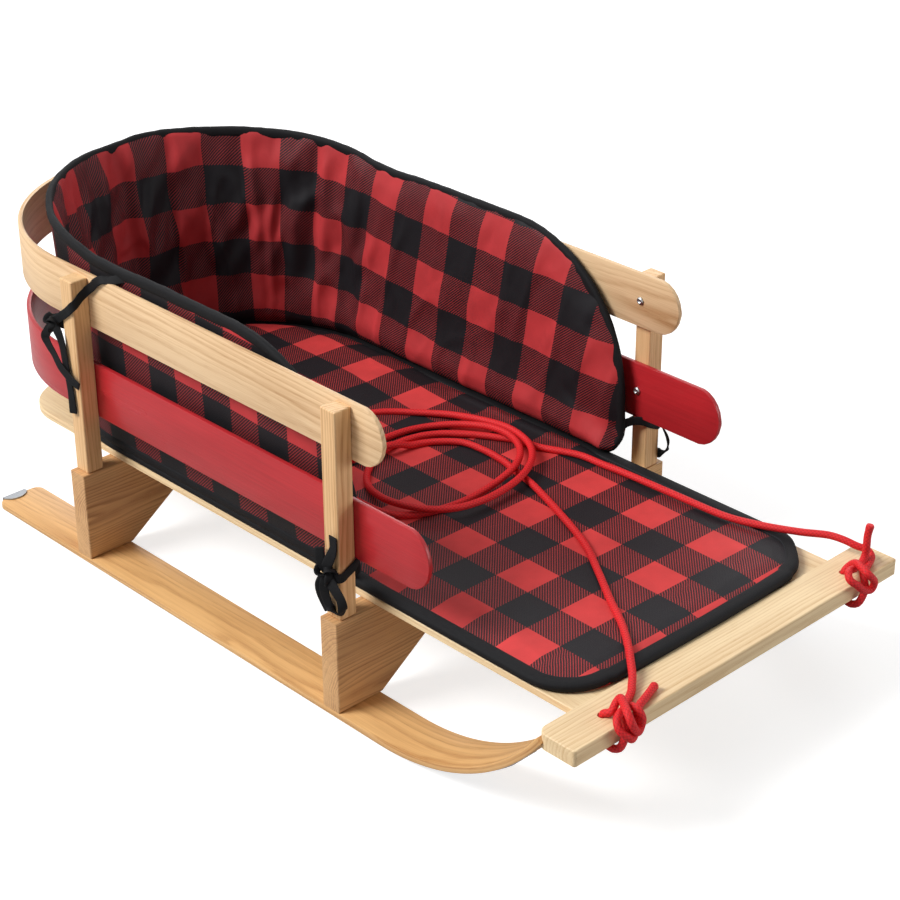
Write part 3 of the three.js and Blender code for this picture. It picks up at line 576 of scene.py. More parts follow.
@dataclass(frozen=True)
class RopeFinish:
    """Braided polypropylene rope in bright red, with painted shade in the braid's valleys and a
    painted highlight along its strands.
    """

    name: str = "red_rope"
    colour: str = "dd2027"
    # Colour of the painted shade in the braid's valleys.
    valley: str = "930e16"
    # Colour of the painted highlight along the strands.
    crest_highlight: str = "e93436"
    carriers: int = 12
    pitch: float = 0.0036

    def make(self) -> bpy.types.Material:
        """Build the material.

        Returns:
            The material.
        """
        r = Recipe(self.name)
        u, v, _ = r.place(Source.RUN)
        one = u * (1 / self.pitch) + v * (self.carriers / 2)
        two = u * (1 / self.pitch) - v * (self.carriers / 2)
        plait = (one.wave(0.5).size() * two.wave(0.5).size()) ** 0.5
        strands = (one * 5.0 + two).wave(1.0) * 0.5 + 0.5
        fuzz = r.cloud((u * 700.0, v * 14.0, 0.0))
        # Random fibre tone, with a painted highlight along the strands.
        bright = r.mix(fuzz * 0.5 + strands * 0.2, paint(self.colour), paint(self.crest_highlight))
        # Painted shade in the braid's valleys.
        shade = r.ramp(plait, (0.0, 0.0), (0.35, 0.75), (0.8, 1.0))
        return r.finish(
            r.mix(shade, paint(self.valley), bright),
            0.5 + fuzz.swing(0.2),
            r.bump(plait * 0.75 + strands * 0.15 + fuzz * 0.1, 0.0005, 0.7),
            {"Specular IOR Level": 0.25},
        )


@dataclass(frozen=True)
class SteelFinish:
    """Plated steel with fine scratches and duller patches."""

    name: str
    colour: str = "a9acb0"
    dulled: str = "85888c"
    roughness: float = 0.36

    def make(self) -> bpy.types.Material:
        """Build the material.

        Returns:
            The material.
        """
        r = Recipe(self.name)
        x, y, z = r.place(Source.OBJECT)
        dull = r.cloud((x * 160.0, y * 160.0, z * 160.0), 3.0)
        scratch = r.cloud((x * 2600.0, y * 300.0, z * 2600.0))
        return r.finish(
            r.mix(dull * 0.5, paint(self.colour), paint(self.dulled)),
            self.roughness + dull.swing(0.24) + scratch.swing(0.1),
            r.bump(scratch, 0.00005, 0.4),
            {"Metallic": 1.0},
        )


class Store:
    """The finishes, each made once."""

    def __init__(self) -> None:
        """Make every finish of the sled."""
        self.ash = WoodFinish("ash_wood", "ecca9f", "b07c49", contrast=0.72)
        self.stick = WoodFinish("post_wood", "eec592", "b3773f", ring=0.004, contrast=0.7)
        self.strip = WoodFinish(
            "runner_wood", "e7b87c", "a66d39", contrast=0.7, gloss=0.4, coat=0.12
        )
        self.block = WoodFinish("bench_wood", "dcae7a", "96603a", ring=0.0028, contrast=0.85)
        self.pale = WoodFinish(
            "pale_wood", "f0d6ab", "c69a66", ring=0.0035, contrast=0.55, gloss=0.5, coat=0.04
        )
        self.paint = PaintFinish().make()
        # One check cloth in two copies: the seat's red is painted brighter as painted light on its
        # upward face, and the wall's red is painted darker as painted shade inside the wall.
        self.seat_check_painted_light = CheckFinish("seat_check_cloth", "dd4545").make()
        self.liner_check_painted_shade = CheckFinish("liner_check_cloth", "c43b3e").make()
        self.binding = TapeFinish("liner_binding_tape", stitch=0.0022).make()
        self.tape = TapeFinish("tie_tape", "161618").make()
        self.rope = RopeFinish().make()
        self.shoe = SteelFinish("shoe_steel").make()
        self.screw = SteelFinish("screw_steel", "b4b5b6", roughness=0.3).make()


class Workbench:
    """One mesh on the bench, shaped in edit mode."""

    def __init__(self, name: str, add: Callable[..., object], **settings: object) -> None:
        """Add a primitive, settle its place in its mesh and open it with nothing selected.

        Args:
            name: What the piece is called.
            add: The operator that adds the primitive.
            settings: Its size and place.
        """
        bpy.ops.object.select_all(action="DESELECT")
        add(**settings)
        self.piece = bpy.context.object
        self.piece.name = name
        self.piece.data.name = name
        bpy.ops.object.transform_apply(location=True, rotation=True, scale=True)
        bpy.ops.object.mode_set(mode="EDIT")
        bpy.ops.mesh.select_all(action="DESELECT")

    @classmethod
    def bent_strip(
        cls,
        name: str,
        middle: Point,
        section: Pair,
        turn: float,
        hub: Point,
        axis: Point,
        steps: int,
    ) -> "Workbench":
        """Draw a strip's section across the sled and bend it round a hub.

        Args:
            name: What the strip is called.
            middle: The section's middle, in millimetres.
            section: Its width and height.
            turn: The angle of the bend, in radians.
            hub: A point of the bend's axis.
            axis: The axis's direction.
            steps: How many facets the bend has.

        Returns:
            The bench with the bent strip open on it.
        """
        add = bpy.ops.mesh.primitive_plane_add
        turned = (RIGHT_ANGLE, 0.0, 0.0)
        bench = cls(name, add, size=1.0, location=metres(*middle), rotation=turned)
        bpy.ops.mesh.select_all(action="SELECT")
        bpy.ops.transform.resize(value=(section[0] * MM, 1.0, section[1] * MM))
        bpy.ops.mesh.spin(steps=steps, angle=turn, center=metres(*hub), axis=axis)
        return bench

    def pick(self, kind: str, keep: Callable[..., bool]) -> None:
        """Select faces or edges.

        Args:
            kind: "FACE" or "EDGE".
            keep: Says which of them.
        """
        bpy.ops.mesh.select_mode(type=kind)
        bpy.ops.mesh.select_all(action="DESELECT")
        mesh = bmesh.from_edit_mesh(self.piece.data)
        for item in mesh.faces if kind == "FACE" else mesh.edges:
            if keep(item):
                item.select_set(True)
        bmesh.update_edit_mesh(self.piece.data)

    def pick_faces(self, keep: Callable[[Vector, Vector], bool]) -> None:
        """Select faces by their middle and normal."""
        self.pick("FACE", lambda face: keep(face.calc_center_median(), face.normal))

    def draw_out(self, start: float, end: float, side: int = 0) -> None:
        """Lengthen a strip from one of its ends.

        Args:
            start: Where the end is along the sled, in millimetres.
            end: Where it goes.
            side: 1 for the end on the right, -1 for the one on the left and 0 for the only one.
        """
        self.pick_faces(
            lambda c, n: abs(c.y - start * MM) < 1e-6 and abs(n.y) > 0.9 and c.x * side >= 0
        )
        move = (0.0, (end - start) * MM, 0.0)
        bpy.ops.mesh.extrude_region_move(TRANSFORM_OT_translate={"value": move})

    def soften(self, width: float) -> None:
        """Sand the edges that turn by more than 45 degrees.

        Args:
            width: How far the sanding reaches, in millimetres.
        """
        limit = math.radians(45.0)
        self.pick("EDGE", lambda e: len(e.link_faces) == 2 and e.calc_face_angle(0.0) > limit)
        bpy.ops.mesh.bevel(
            offset=width * MM, segments=2, profile=0.5, affect="EDGES", clamp_overlap=True
        )

    def trim(self, place: Sequence[float], normal: Vector) -> None:
        """Saw off what lies past a plane and close the cut.

        Args:
            place: A point of the plane.
            normal: The side that falls away.
        """
        bpy.ops.mesh.select_mode(type="FACE")
        bpy.ops.mesh.select_all(action="SELECT")
        bpy.ops.mesh.bisect(plane_co=place, plane_no=normal, use_fill=True, clear_outer=True)

    def done(self, material: bpy.types.Material, smooth: float = 38.0) -> bpy.types.Object:
        """Smooth the piece and dress it.

        Args:
            material: Its finish.
            smooth: Faces meet smoothly up to this many degrees.

        Returns:
            The finished piece.
        """
        bpy.ops.object.mode_set(mode="OBJECT")
        mesh = bmesh.new()
        mesh.from_mesh(self.piece.data)
        bmesh.ops.remove_doubles(mesh, verts=mesh.verts, dist=1e-6)
        bmesh.ops.recalc_face_normals(mesh, faces=mesh.faces)
        mesh.to_mesh(self.piece.data)
        mesh.free()
        pick_only(self.piece)
        bpy.ops.object.shade_smooth_by_angle(angle=math.radians(smooth))
        self.piece.data.materials.clear()
        self.piece.data.materials.append(material)
        return self.piece


def pick_only(*pieces: bpy.types.Object) -> None:
    """Select pieces and nothing else, with the first one active."""
    bpy.ops.object.select_all(action="DESELECT")
    for piece in pieces:
        piece.select_set(True)
    bpy.context.view_layer.objects.active = pieces[0]


def sewn_up(mesh: bmesh.types.BMesh, name: str, material: bpy.types.Material) -> bpy.types.Object:
    """Turn a closed mesh into a dressed piece whose four-sided faces are smooth.

    Args:
        mesh: The mesh, which is used up.
        name: The piece's name.
        material: Its finish.

    Returns:
        The piece.
    """
    bmesh.ops.recalc_face_normals(mesh, faces=mesh.faces)
    for face in mesh.faces:
        face.smooth = len(face.verts) == 4
    data = bpy.data.meshes.new(name)
    mesh.to_mesh(data)
    mesh.free()
    data.materials.append(material)
    piece = bpy.data.objects.new(name, data)
    bpy.context.scene.collection.objects.link(piece)
    return piece


def settle(piece: bpy.types.Object, slot: str, *nodes: str) -> None:
    """Set a piece on the sled in place of its nodes.

    Args:
        piece: The piece.
        slot: The name of a material slot; not used.
        nodes: The nodes that it stands for.
    """
    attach(piece, BODY)
    if nodes:
        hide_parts(*nodes)
    log.info("%s: %d faces", piece.name, len(piece.data.polygons))


def give_grain(piece: bpy.types.Object, unbent: Callable[[Vector], Point]) -> None:
    """Write the coordinates of the unbent wood on every point of a piece.

    Args:
        piece: The piece.
        unbent: The coordinates for a place.
    """
    data = piece.data.attributes.new("grain", "FLOAT_VECTOR", "POINT")
    for vertex, entry in zip(piece.data.vertices, data.data):
        entry.vector = unbent(vertex.co)


class Sweep:
    """Closed bodies drawn along a line."""

    @staticmethod
    def carry(
        name: str,
        line: Sequence[Vector],
        section: Sequence[Pair],
        material: bpy.types.Material,
        across: Sequence[Vector] | None = None,
        closed: bool = False,
        shape: Callable[[float], float] | None = None,
    ) -> bpy.types.Object:
        """Carry a section along a line.

        Args:
            name: The piece's name.
            line: Points of the line.
            section: The section's outline, as places across and above the line, in metres.
            material: The finish.
            across: The direction across at each point; without it the section turns least.
            closed: Whether the line's end meets its start.
            shape: The section's scale at a length along the line.

        Returns:
            The piece, with its run in a UV map in metres along and round it.
        """
        count, sides = len(line), len(section)
        tangents = []
        for i in range(count):
            before = line[i - 1] if i or closed else line[0]
            after = line[(i + 1) % count] if i + 1 < count or closed else line[-1]
            tangents.append((after - before).normalized())
        side = tangents[0].orthogonal().normalized()
        mesh = bmesh.new()
        rings: list[list[bmesh.types.BMVert]] = []
        runs = [0.0]
        for i, (place, along) in enumerate(zip(line, tangents)):
            if across:
                side = across[i]
            elif i:
                side = tangents[i - 1].rotation_difference(along) @ side
            side = (side - along * side.dot(along)).normalized()
            up = along.cross(side)
            if i:
                runs.append(runs[-1] + (place - line[i - 1]).length)
            scale = shape(runs[-1]) if shape else 1.0
            spots = [place + side * (a * scale) + up * (b * scale) for a, b in section]
            rings.append([mesh.verts.new(spot) for spot in spots])
        run_map = mesh.loops.layers.uv.new("run")

        def add_face(verts: Sequence[bmesh.types.BMVert], places: Sequence[Pair]) -> None:
            """Add a face and write its corners' places in the run."""
            for loop, value in zip(mesh.faces.new(verts).loops, places):
                loop[run_map].uv = value

        rounds = [0.0]
        for a, b in zip(section, [*section[1:], section[0]]):
            rounds.append(rounds[-1] + math.hypot(b[0] - a[0], b[1] - a[1]))
        pairs = list(zip(range(count - 1), range(1, count)))
        if closed:
            pairs.append((count - 1, 0))
            runs.append(runs[-1] + (line[0] - line[-1]).length)
        for i, j in pairs:
            start, end = runs[i], runs[i + 1]
            for k in range(sides):
                n = (k + 1) % sides
                near, far = rounds[k], rounds[k + 1]
                add_face(
                    (rings[i][k], rings[i][n], rings[j][n], rings[j][k]),
                    ((start, near), (start, far), (end, far), (end, near)),
                )
        if not closed:
            for ring, run in ((rings[0][::-1], runs[0]), (rings[-1], runs[-1])):
                middle = mesh.verts.new(sum((v.co for v in ring), Vector()) / sides)
                for k in range(sides):
                    corner = (run, rounds[-1] * k / sides)
                    add_face((ring[k], ring[(k + 1) % sides], middle), (corner,) * 3)
        return sewn_up(mesh, name, material)

    @staticmethod
    def round_section(radius: float, sides: int) -> list[Pair]:
        """Give a circle's points."""
        turn = 2 * math.pi / sides
        return [(radius * math.cos(turn * k), radius * math.sin(turn * k)) for k in range(sides)]

    @staticmethod
    def flat_section(width: float, height: float, sides: int, power: float) -> list[Pair]:
        """Give a flattened oval's points, in metres.

        Args:
            width: Its full width, in millimetres.
            height: Its full height.
            sides: How many points.
            power: How round it is, squarer below 1.

        Returns:
            The points.
        """
        points = []
        for k in range(sides):
            angle = 2 * math.pi * (k + 0.5) / sides
            turns = (math.cos(angle), math.sin(angle))
            spot = [math.copysign(abs(turn) ** power, turn) for turn in turns]
            points.append((width * MM / 2 * spot[0], height * MM / 2 * spot[1]))
        return points


@dataclass
class Rails:
    """The two rails bent round the back. Sizes are in millimetres."""

    outer: float = 190.0
    thickness: float = 4.8
    bend_y: float = 265.0
    nose_depth: float = 26.0
    nose_cuts: int = 11
    steps: int = 64
    sanded: float = 1.0
    upper: Point = (255.7, 310.7, -207.5)
    lower: Point = (158.8, 216.8, -262.5)

    @property
    def radius(self) -> float:
        """Radius of the bend along the middle of the strip."""
        return self.outer - self.thickness / 2

    def bend(self, name: str, size: Point, material: bpy.types.Material) -> bpy.types.Object:
        """Bend a strip into a U and round its ends.

        Args:
            name: The rail's name.
            size: Its bottom, its top and where its nose reaches.
            material: Its finish.

        Returns:
            The rail.
        """
        bottom, top, nose = size
        height = top - bottom
        bench = Workbench.bent_strip(
            name,
            (self.radius, self.bend_y, bottom + height / 2),
            (self.thickness, height),
            -math.pi,
            (0.0, self.bend_y, 0.0),
            UP,
            self.steps,
        )
        for side in (1, -1):
            bench.draw_out(self.bend_y, nose, side)
        for k in range(self.nose_cuts):
            angle = math.pi * (k + 1) / (self.nose_cuts + 1) + RIGHT_ANGLE
            y = nose + self.nose_depth + self.nose_depth * math.cos(angle)
            z = bottom + height / 2 + height / 2 * math.sin(angle)
            out = (0.0, math.cos(angle) / self.nose_depth, math.sin(angle) / (height / 2))
            bench.trim(metres(0.0, y, z), Vector(out).normalized())
        bench.soften(self.sanded)
        piece = bench.done(material)
        give_grain(piece, lambda co: self.unbent(co, bottom))
        return piece

    def unbent(self, place: Vector, bottom: float) -> Point:
        """Give a place's coordinates in the strip before it was bent.

        Args:
            place: A point of the rail, in metres.
            bottom: The rail's bottom, which also picks its stretch of wood.

        Returns:
            Along, across and through the strip, in metres.
        """
        past = place.y - self.bend_y * MM
        radius = self.radius * MM
        if past <= 0:
            along = past if place.x > 0 else math.pi * radius - past
            through = abs(place.x)
        else:
            along = math.atan2(past, place.x) * radius
            through = math.hypot(place.x, past)
        return (along + bottom * 0.003, place.z - (bottom + 28) * MM, through - radius)

    def build(self, store: Store) -> None:
        """Make both rails.

        Args:
            store: The finishes.
        """
        wood = store.ash.make("upper_rail", Lie.BENT, Cut.FLAT)
        settle(self.bend("upper_rail_wood", self.upper, wood), "ash_wood", "upper_rail")
        settle(self.bend("lower_rail_wood", self.lower, store.paint), "red_paint", "lower_rail")


@dataclass
class Runners:
    """The two runners with their bent fronts. Sizes are in millimetres."""

    middle_x: float = 190.5
    width: float = 51.0
    thickness: float = 6.4
    bottom: float = 1.5
    rear: float = 372.0
    bend_y: float = -224.0
    radius: float = 240.0
    bar_y: float = -412.0
    past_bar: float = 13.0
    corner: float = 9.0
    sanded: float = 0.8
    steps: int = 30

    def bend(self, name: str, side: int, material: bpy.types.Material) -> bpy.types.Object:
        """Bend one runner.

        Args:
            name: Its name.
            side: 1 on the right and -1 on the left.
            material: Its finish.

        Returns:
            The runner.
        """
        reach = (self.bend_y - self.bar_y) / self.radius
        bench = Workbench.bent_strip(
            name,
            (side * self.middle_x, self.bend_y, self.bottom + self.thickness / 2),
            (self.width, self.thickness),
            math.asin(reach) + self.past_bar / self.radius,
            (0.0, self.bend_y, self.bottom + self.radius),
            (1.0, 0.0, 0.0),
            self.steps,
        )
        bench.draw_out(self.bend_y, self.rear)

        def upright_corner(edge: bmesh.types.BMEdge) -> bool:
            """Say whether an edge is one of the upright ones at the rear end."""
            a, b = (v.co for v in edge.verts)
            at_rear = min(a.y, b.y) > (self.rear - 1) * MM
            return at_rear and abs(a.z - b.z) > self.thickness * MM / 2

        bench.pick("EDGE", upright_corner)
        bpy.ops.mesh.bevel(offset=self.corner * MM, segments=5, profile=0.5, affect="EDGES")
        bench.soften(self.sanded)
        piece = bench.done(material)
        give_grain(piece, lambda co: self.unbent(co, side))
        return piece

    def unbent(self, place: Vector, side: int) -> Point:
        """Give a place's coordinates in the strip before it was bent.

        Args:
            place: A point of the runner, in metres.
            side: 1 on the right and -1 on the left.

        Returns:
            Along, across and through the strip, in metres.
        """
        ahead = self.bend_y * MM - place.y
        across = place.x - side * self.middle_x * MM
        if ahead <= 0:
            return (ahead, across, place.z - self.bottom * MM)
        drop = (self.bottom + self.radius) * MM - place.z
        radius = self.radius * MM
        return (math.atan2(ahead, drop) * radius, across, radius - math.hypot(ahead, drop))

    def build(self, store: Store) -> None:
        """Make both runners.

        Args:
            store: The finishes.
        """
        for (name, side), cut in zip(SIDES, (Cut.FLAT_LEFT, Cut.FLAT)):
            wood = store.strip.make(f"runner_{name}", Lie.BENT, cut)
            settle(self.bend(f"runner_{name}_wood", side, wood), "ash_wood", f"runner_{name}")


@dataclass
class Joinery:
    """Benches, deck, crossbar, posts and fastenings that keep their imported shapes."""

    cuts: tuple[Cut, ...] = (Cut.RIFT, Cut.FLAT, Cut.RIFT_STEEP, Cut.FLAT_LEFT, Cut.QUARTER)

    def build(self, store: Store) -> None:
        """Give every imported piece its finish.

        Args:
            store: The finishes.
        """
        metals = {
            "runner_shoe_": store.shoe, "foot_screw_": store.screw, "deck_screw_": store.screw,
        }
        woods = {
            "bench_": (store.block, Lie.ACROSS_SLED),
            "deck_board_": (store.pale, Lie.ALONG_SLED),
            "front_crossbar": (store.pale, Lie.ACROSS_SLED),
            "post_": (store.stick, Lie.UPRIGHT),
        }
        for rank, name in enumerate(sorted(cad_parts)):
            material = next((metals[start] for start in metals if name.startswith(start)), None)
            wood = next((woods[start] for start in woods if name.startswith(start)), None)
            if wood:
                finish, lie = wood
                low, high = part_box(name)
                middle = tuple((a + b) / 2 for a, b in zip(low, high))
                material = finish.make(name, lie, self.cuts[rank % len(self.cuts)], middle)
            if material:
                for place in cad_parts[name].material_slots:
                    place.material = material
                log.info("%s: dressed", name)


@dataclass
class ScrewHeads:
    """Domed screw heads with a recess, on the rails' inner faces. Sizes are in millimetres."""

    head: float = 7.5
    dome: float = 2.4
    steps: tuple[Pair, ...] = ((0.55, 0.28), (0.75, 0.17), (0.9, 0.07))
    rim: float = 0.35
    recess: float = 1.1
    narrowing: float = 0.45
    face_x: float = 185.0
    places_y: tuple[tuple[str, float], ...] = (("front", -160.0), ("rear", 217.0))
    places_z: tuple[tuple[str, float], ...] = (("upper", 283.2), ("lower", 187.8))

    def model(self, material: bpy.types.Material) -> bpy.types.Object:
        """Model one head that faces up from the origin.

        Args:
            material: Its finish.

        Returns:
            The head.
        """
        bench = Workbench(
            "rail_screw_head",
            bpy.ops.mesh.primitive_cylinder_add,
            vertices=32,
            radius=self.head / 2 * MM,
            depth=self.dome * 0.45 * MM,
            location=(0.0, 0.0, self.dome * 0.225 * MM),
        )

        def pick_top(share: float) -> None:
            """Select the face that looks up above a share of the dome's height."""
            bench.pick_faces(lambda c, n: n.z > 0.9 and c.z > self.dome * share * MM)

        for inset, rise in self.steps:
            pick_top(0.4)
            bpy.ops.mesh.inset(thickness=inset * MM, depth=rise * self.dome * MM)
        pick_top(0.9)
        bpy.ops.mesh.inset(thickness=self.rim * MM, depth=0.0)
        bpy.ops.mesh.extrude_region_move(
            TRANSFORM_OT_translate={"value": (0.0, 0.0, -self.recess * MM)}
        )
        bpy.ops.transform.resize(value=(self.narrowing, self.narrowing, 1.0))
        return bench.done(material, 30.0)

    def build(self, store: Store) -> None:
        """Model one head and copy it to every screw.

        Args:
            store: The finishes.
        """
        master = self.model(store.screw)
        for rank, z in self.places_z:
            for end, y in self.places_y:
                for name, side in SIDES:
                    copy = master.copy()
                    copy.data = master.data.copy()
                    copy.name = f"screw_{rank}_{end}_{name}"
                    move = Matrix.Translation(metres(side * self.face_x, y, z))
                    turn = Matrix.Rotation(-side * RIGHT_ANGLE, 4, "Y")
                    spin = Matrix.Rotation(0.7 * y + z, 4, "Z")
                    copy.data.transform(move @ turn @ spin)
                    bpy.context.scene.collection.objects.link(copy)
                    settle(copy, "screw_steel", f"rail_screw_{rank}_{end}_{name}")
        bpy.data.objects.remove(master)


class Padding:
    """Closed quilted bodies made of two sheets and blown up a little."""

    CLOTH = {
        "quality": 4,
        "mass": 0.25,
        "tension_stiffness": 18,
        "compression_stiffness": 10,
        "shear_stiffness": 8,
        "bending_stiffness": 0.4,
        "use_pressure": True,
        "vertex_group_mass": "hem",
    }
    FRAMES = 20

    @staticmethod
    def quilt(
        name: str,
        marks: Sequence[Sequence[Pair]],
        sew: Callable[[float, float, int], tuple[Vector, Pair]],
        material: bpy.types.Material,
    ) -> bpy.types.Object:
        """Sew two sheets of the same grid together round their edges.

        Args:
            name: The piece's name.
            marks: Where each point of the grid lies along and up the padding.
            sew: Gives the point of a mark on face 0 or 1, and its place in the cloth, in metres.
            material: The finish.

        Returns:
            The closed piece with "cloth" and "lay" attributes and a "hem" group on its edge.
        """
        mesh = bmesh.new()
        cloth = mesh.verts.layers.float_vector.new("cloth")
        lay = mesh.verts.layers.float_vector.new("lay")

        def stitch(run: float, up: float, face: int) -> bmesh.types.BMVert:
            """Add the point of a mark."""
            point, (u, v) = sew(run, up, face)
            vert = mesh.verts.new(point)
            vert[cloth] = (u, v, 0.0)
            vert[lay] = (run, up, float(face))
            return vert

        grids = [[[stitch(*mark, face) for mark in line] for line in marks] for face in (0, 1)]
        top, under = grids
        high, wide = len(top), len(top[0])
        for grid, way in ((top, 1), (under, -1)):
            for low, line in zip(grid, grid[1:]):
                for j in range(wide - 1):
                    mesh.faces.new((low[j], low[j + 1], line[j + 1], line[j])[::way])
        rim = [(0, j) for j in range(wide)]
        rim += [(i, wide - 1) for i in range(1, high)]
        rim += [(high - 1, j) for j in range(wide - 2, -1, -1)]
        rim += [(i, 0) for i in range(high - 2, 0, -1)]
        for (a, b), (c, d) in zip(rim, rim[1:] + rim[:1]):
            mesh.faces.new((top[a][b], under[a][b], under[c][d], top[c][d]))
        mesh.verts.index_update()
        hem = [grid[i][j].index for grid in grids for i, j in rim]
        piece = sewn_up(mesh, name, material)
        piece.vertex_groups.new(name="hem").add(hem, 1.0, "REPLACE")
        return piece

    @classmethod
    def inflate(cls, piece: bpy.types.Object, cap: float, pressure: float = 3.0) -> None:
        """Blow the padding up with a short cloth simulation.

        Args:
            piece: The closed piece; its hem stays put.
            cap: How far a point may move, in metres.
            pressure: The pressure inside.
        """
        before = [v.co.copy() for v in piece.data.vertices]
        cloth = piece.modifiers.new("cloth", "CLOTH")
        for key, value in cls.CLOTH.items():
            setattr(cloth.settings, key, value)
        cloth.settings.uniform_pressure_force = pressure
        cloth.settings.effector_weights.gravity = 0.0
        cloth.collision_settings.use_collision = False
        cloth.point_cache.frame_start = 1
        cloth.point_cache.frame_end = cls.FRAMES
        for number in range(1, cls.FRAMES + 1):
            bpy.context.scene.frame_set(number)
        graph = bpy.context.evaluated_depsgraph_get()
        after = [v.co.copy() for v in piece.evaluated_get(graph).data.vertices]
        bpy.context.scene.frame_set(1)
        piece.modifiers.remove(cloth)
        for vertex, old, new in zip(piece.data.vertices, before, after):
            move = new - old
            if move.length > cap:
                move = move * (cap / move.length)
            vertex.co = old + move
        piece.data.update()

    @staticmethod
    def round_off(piece: bpy.types.Object) -> None:
        """Subdivide a piece once."""
        pick_only(piece)
        smooth = piece.modifiers.new("round", "SUBSURF")
        smooth.levels = smooth.render_levels = 1
        bpy.ops.object.modifier_apply(modifier=smooth.name)


@dataclass
class SeatPad:
    """The quilted pad on the deck, bound with black tape. Sizes are in millimetres."""

    half_width: float = 171.5
    front: float = -414.0
    bow: float = 5.0
    corner: float = 50.0
    oval_start: float = 218.0
    rear: float = 387.0
    bottom: float = 110.3
    thickness: float = 8.8
    edge: float = 3.4
    hem: float = 24.0
    dome: float = 8.5
    dome_y: Pair = (34.0, 170.0)
    side_roll: float = 3.5
    side_roll_x: Pair = (142.0, 157.0)
    side_roll_y: Pair = (-150.0, -118.0)
    columns: int = 62
    rows: int = 150
    straight_share: float = 0.86
    binding_width: float = 15.0
    binding_height: float = 9.4
    tuck: float = 3.0
    swelling: float = 1.6
    slack: float = 8.0
    slack_reach: float = 30.0
    check_corner: Pair = (-77.5, -269.0)
    check_turn: float = -1.05
    square: float = 40.4

    @property
    def first(self) -> float:
        """Where the front row of the cloth stands at the sides."""
        return self.front + self.bow

    @property
    def last(self) -> float:
        """Where the rearmost row of the cloth stands."""
        return self.rear - 0.6

    def reach(self, y: float) -> float:
        """Give half the pad's width at a place along it.

        Args:
            y: The place.

        Returns:
            Half the width.
        """
        into = y - self.first
        if into < self.corner:
            gap = self.corner - max(into, 0.0)
            return self.half_width - self.corner + math.sqrt(max(self.corner**2 - gap**2, 0.0))
        if y > self.oval_start:
            share = (y - self.oval_start) / (self.rear - self.oval_start)
            return self.half_width * math.sqrt(max(1 - share * share, 0.0))
        return self.half_width

    def inside(self, x: float, y: float) -> float:
        """Give the distance to the pad's edge.

        Args:
            x: The place across the sled.
            y: The place along it.

        Returns:
            The distance, 0 outside.
        """
        if y > self.oval_start:
            rise = self.rear - self.oval_start
            out = math.hypot(x / self.half_width, (y - self.oval_start) / rise)
            return max(0.0, (1 - out) * self.half_width)
        start = self.front + self.bow * min(1.0, abs(x) / self.half_width) ** 2
        dx = abs(x) - (self.half_width - self.corner)
        dy = start + self.corner - y
        out = math.hypot(max(dx, 0.0), max(dy, 0.0)) + min(max(dx, dy), 0.0) - self.corner
        return max(0.0, -out)

    def top(self, x: float, y: float) -> float:
        """Give the height of the pad's upper face."""
        fullness = ease(0.0, self.hem, self.inside(x, y)) ** 0.6
        height = self.bottom + self.edge + (self.thickness - self.edge) * fullness
        return height + self.swell(x, y) * fullness

    def swell(self, x: float, y: float) -> float:
        """Give how far the padding stands up at the back and beside the wall."""
        back = self.dome * ease(*self.dome_y, y) * (1 - 0.25 * (x / self.half_width) ** 2)
        beside = self.side_roll * ease(*self.side_roll_x, abs(x)) * ease(*self.side_roll_y, y)
        return max(back, beside)

    def spot(self, x: float, y: float) -> Pair:
        """Give a place's coordinates in the check, in metres from a corner of its squares."""
        turn = math.radians(self.check_turn)
        dx, dy = x - self.check_corner[0], y - self.check_corner[1]
        return (
            (self.square - dx * math.cos(turn) - dy * math.sin(turn)) * MM,
            (dy * math.cos(turn) - dx * math.sin(turn)) * MM,
        )

    def sew(self, across: float, y: float, face: int) -> tuple[Vector, Pair]:
        """Place a point of the cloth.

        Args:
            across: Its place across the pad, -1 to 1.
            y: Its row.
            face: 0 on top and 1 below.

        Returns:
            The point and its coordinates in the check, in metres.
        """
        x = (self.reach(y) - self.tuck) * across
        bow = self.bow * (1 - (x / self.half_width) ** 2)
        bow *= 1 - ease(self.front, self.front + 90, y)
        bowed = y - bow + self.tuck * (1 - 2 * (y - self.first) / (self.last - self.first))
        height = self.bottom if face else self.top(x, bowed)
        return Vector((x, bowed, height)) * MM, self.spot(x, bowed)

    def rows_at(self) -> list[float]:
        """Choose where the rows stand, closer together at both ends.

        Returns:
            Their places along the sled.
        """
        length = self.last - self.first
        base = self.first + length * self.straight_share
        rows = [self.first + self.corner * (1 - math.cos(RIGHT_ANGLE * k / 12)) for k in range(12)]
        for i in range(self.rows + 1):
            share = i / self.rows
            y = self.first + length * share
            if share > self.straight_share:
                rest = (share - self.straight_share) / (1 - self.straight_share)
                y = base + (self.last - base) * math.sin(rest * RIGHT_ANGLE)
            if y > self.first + self.corner + 1:
                rows.append(y)
        return rows

    def outline(self) -> list[Pair]:
        """Give the pad's outline from the middle of the front, round the right side.

        Returns:
            Points of the closed outline.
        """
        inner = self.half_width - self.corner
        start = self.first + self.corner
        half: list[Pair] = []
        for k in range(26):
            across = inner / self.half_width * k / 26
            half.append((across * self.half_width, self.front + self.bow * across * across))
        for k in range(15):
            angle = RIGHT_ANGLE * k / 14 - RIGHT_ANGLE
            aside, ahead = self.corner * math.cos(angle), self.corner * math.sin(angle)
            half.append((inner + aside, start + ahead))
        for k in range(1, 80):
            half.append((self.half_width, start + (self.oval_start - start) * k / 80))
        for k in range(50):
            angle = RIGHT_ANGLE * k / 50
            rise = (self.rear - self.oval_start) * math.sin(angle)
            half.append((self.half_width * math.cos(angle), self.oval_start + rise))
        left = [(-x, y) for x, y in reversed(half[1:])]
        return [*half, (0.0, self.rear), *left]

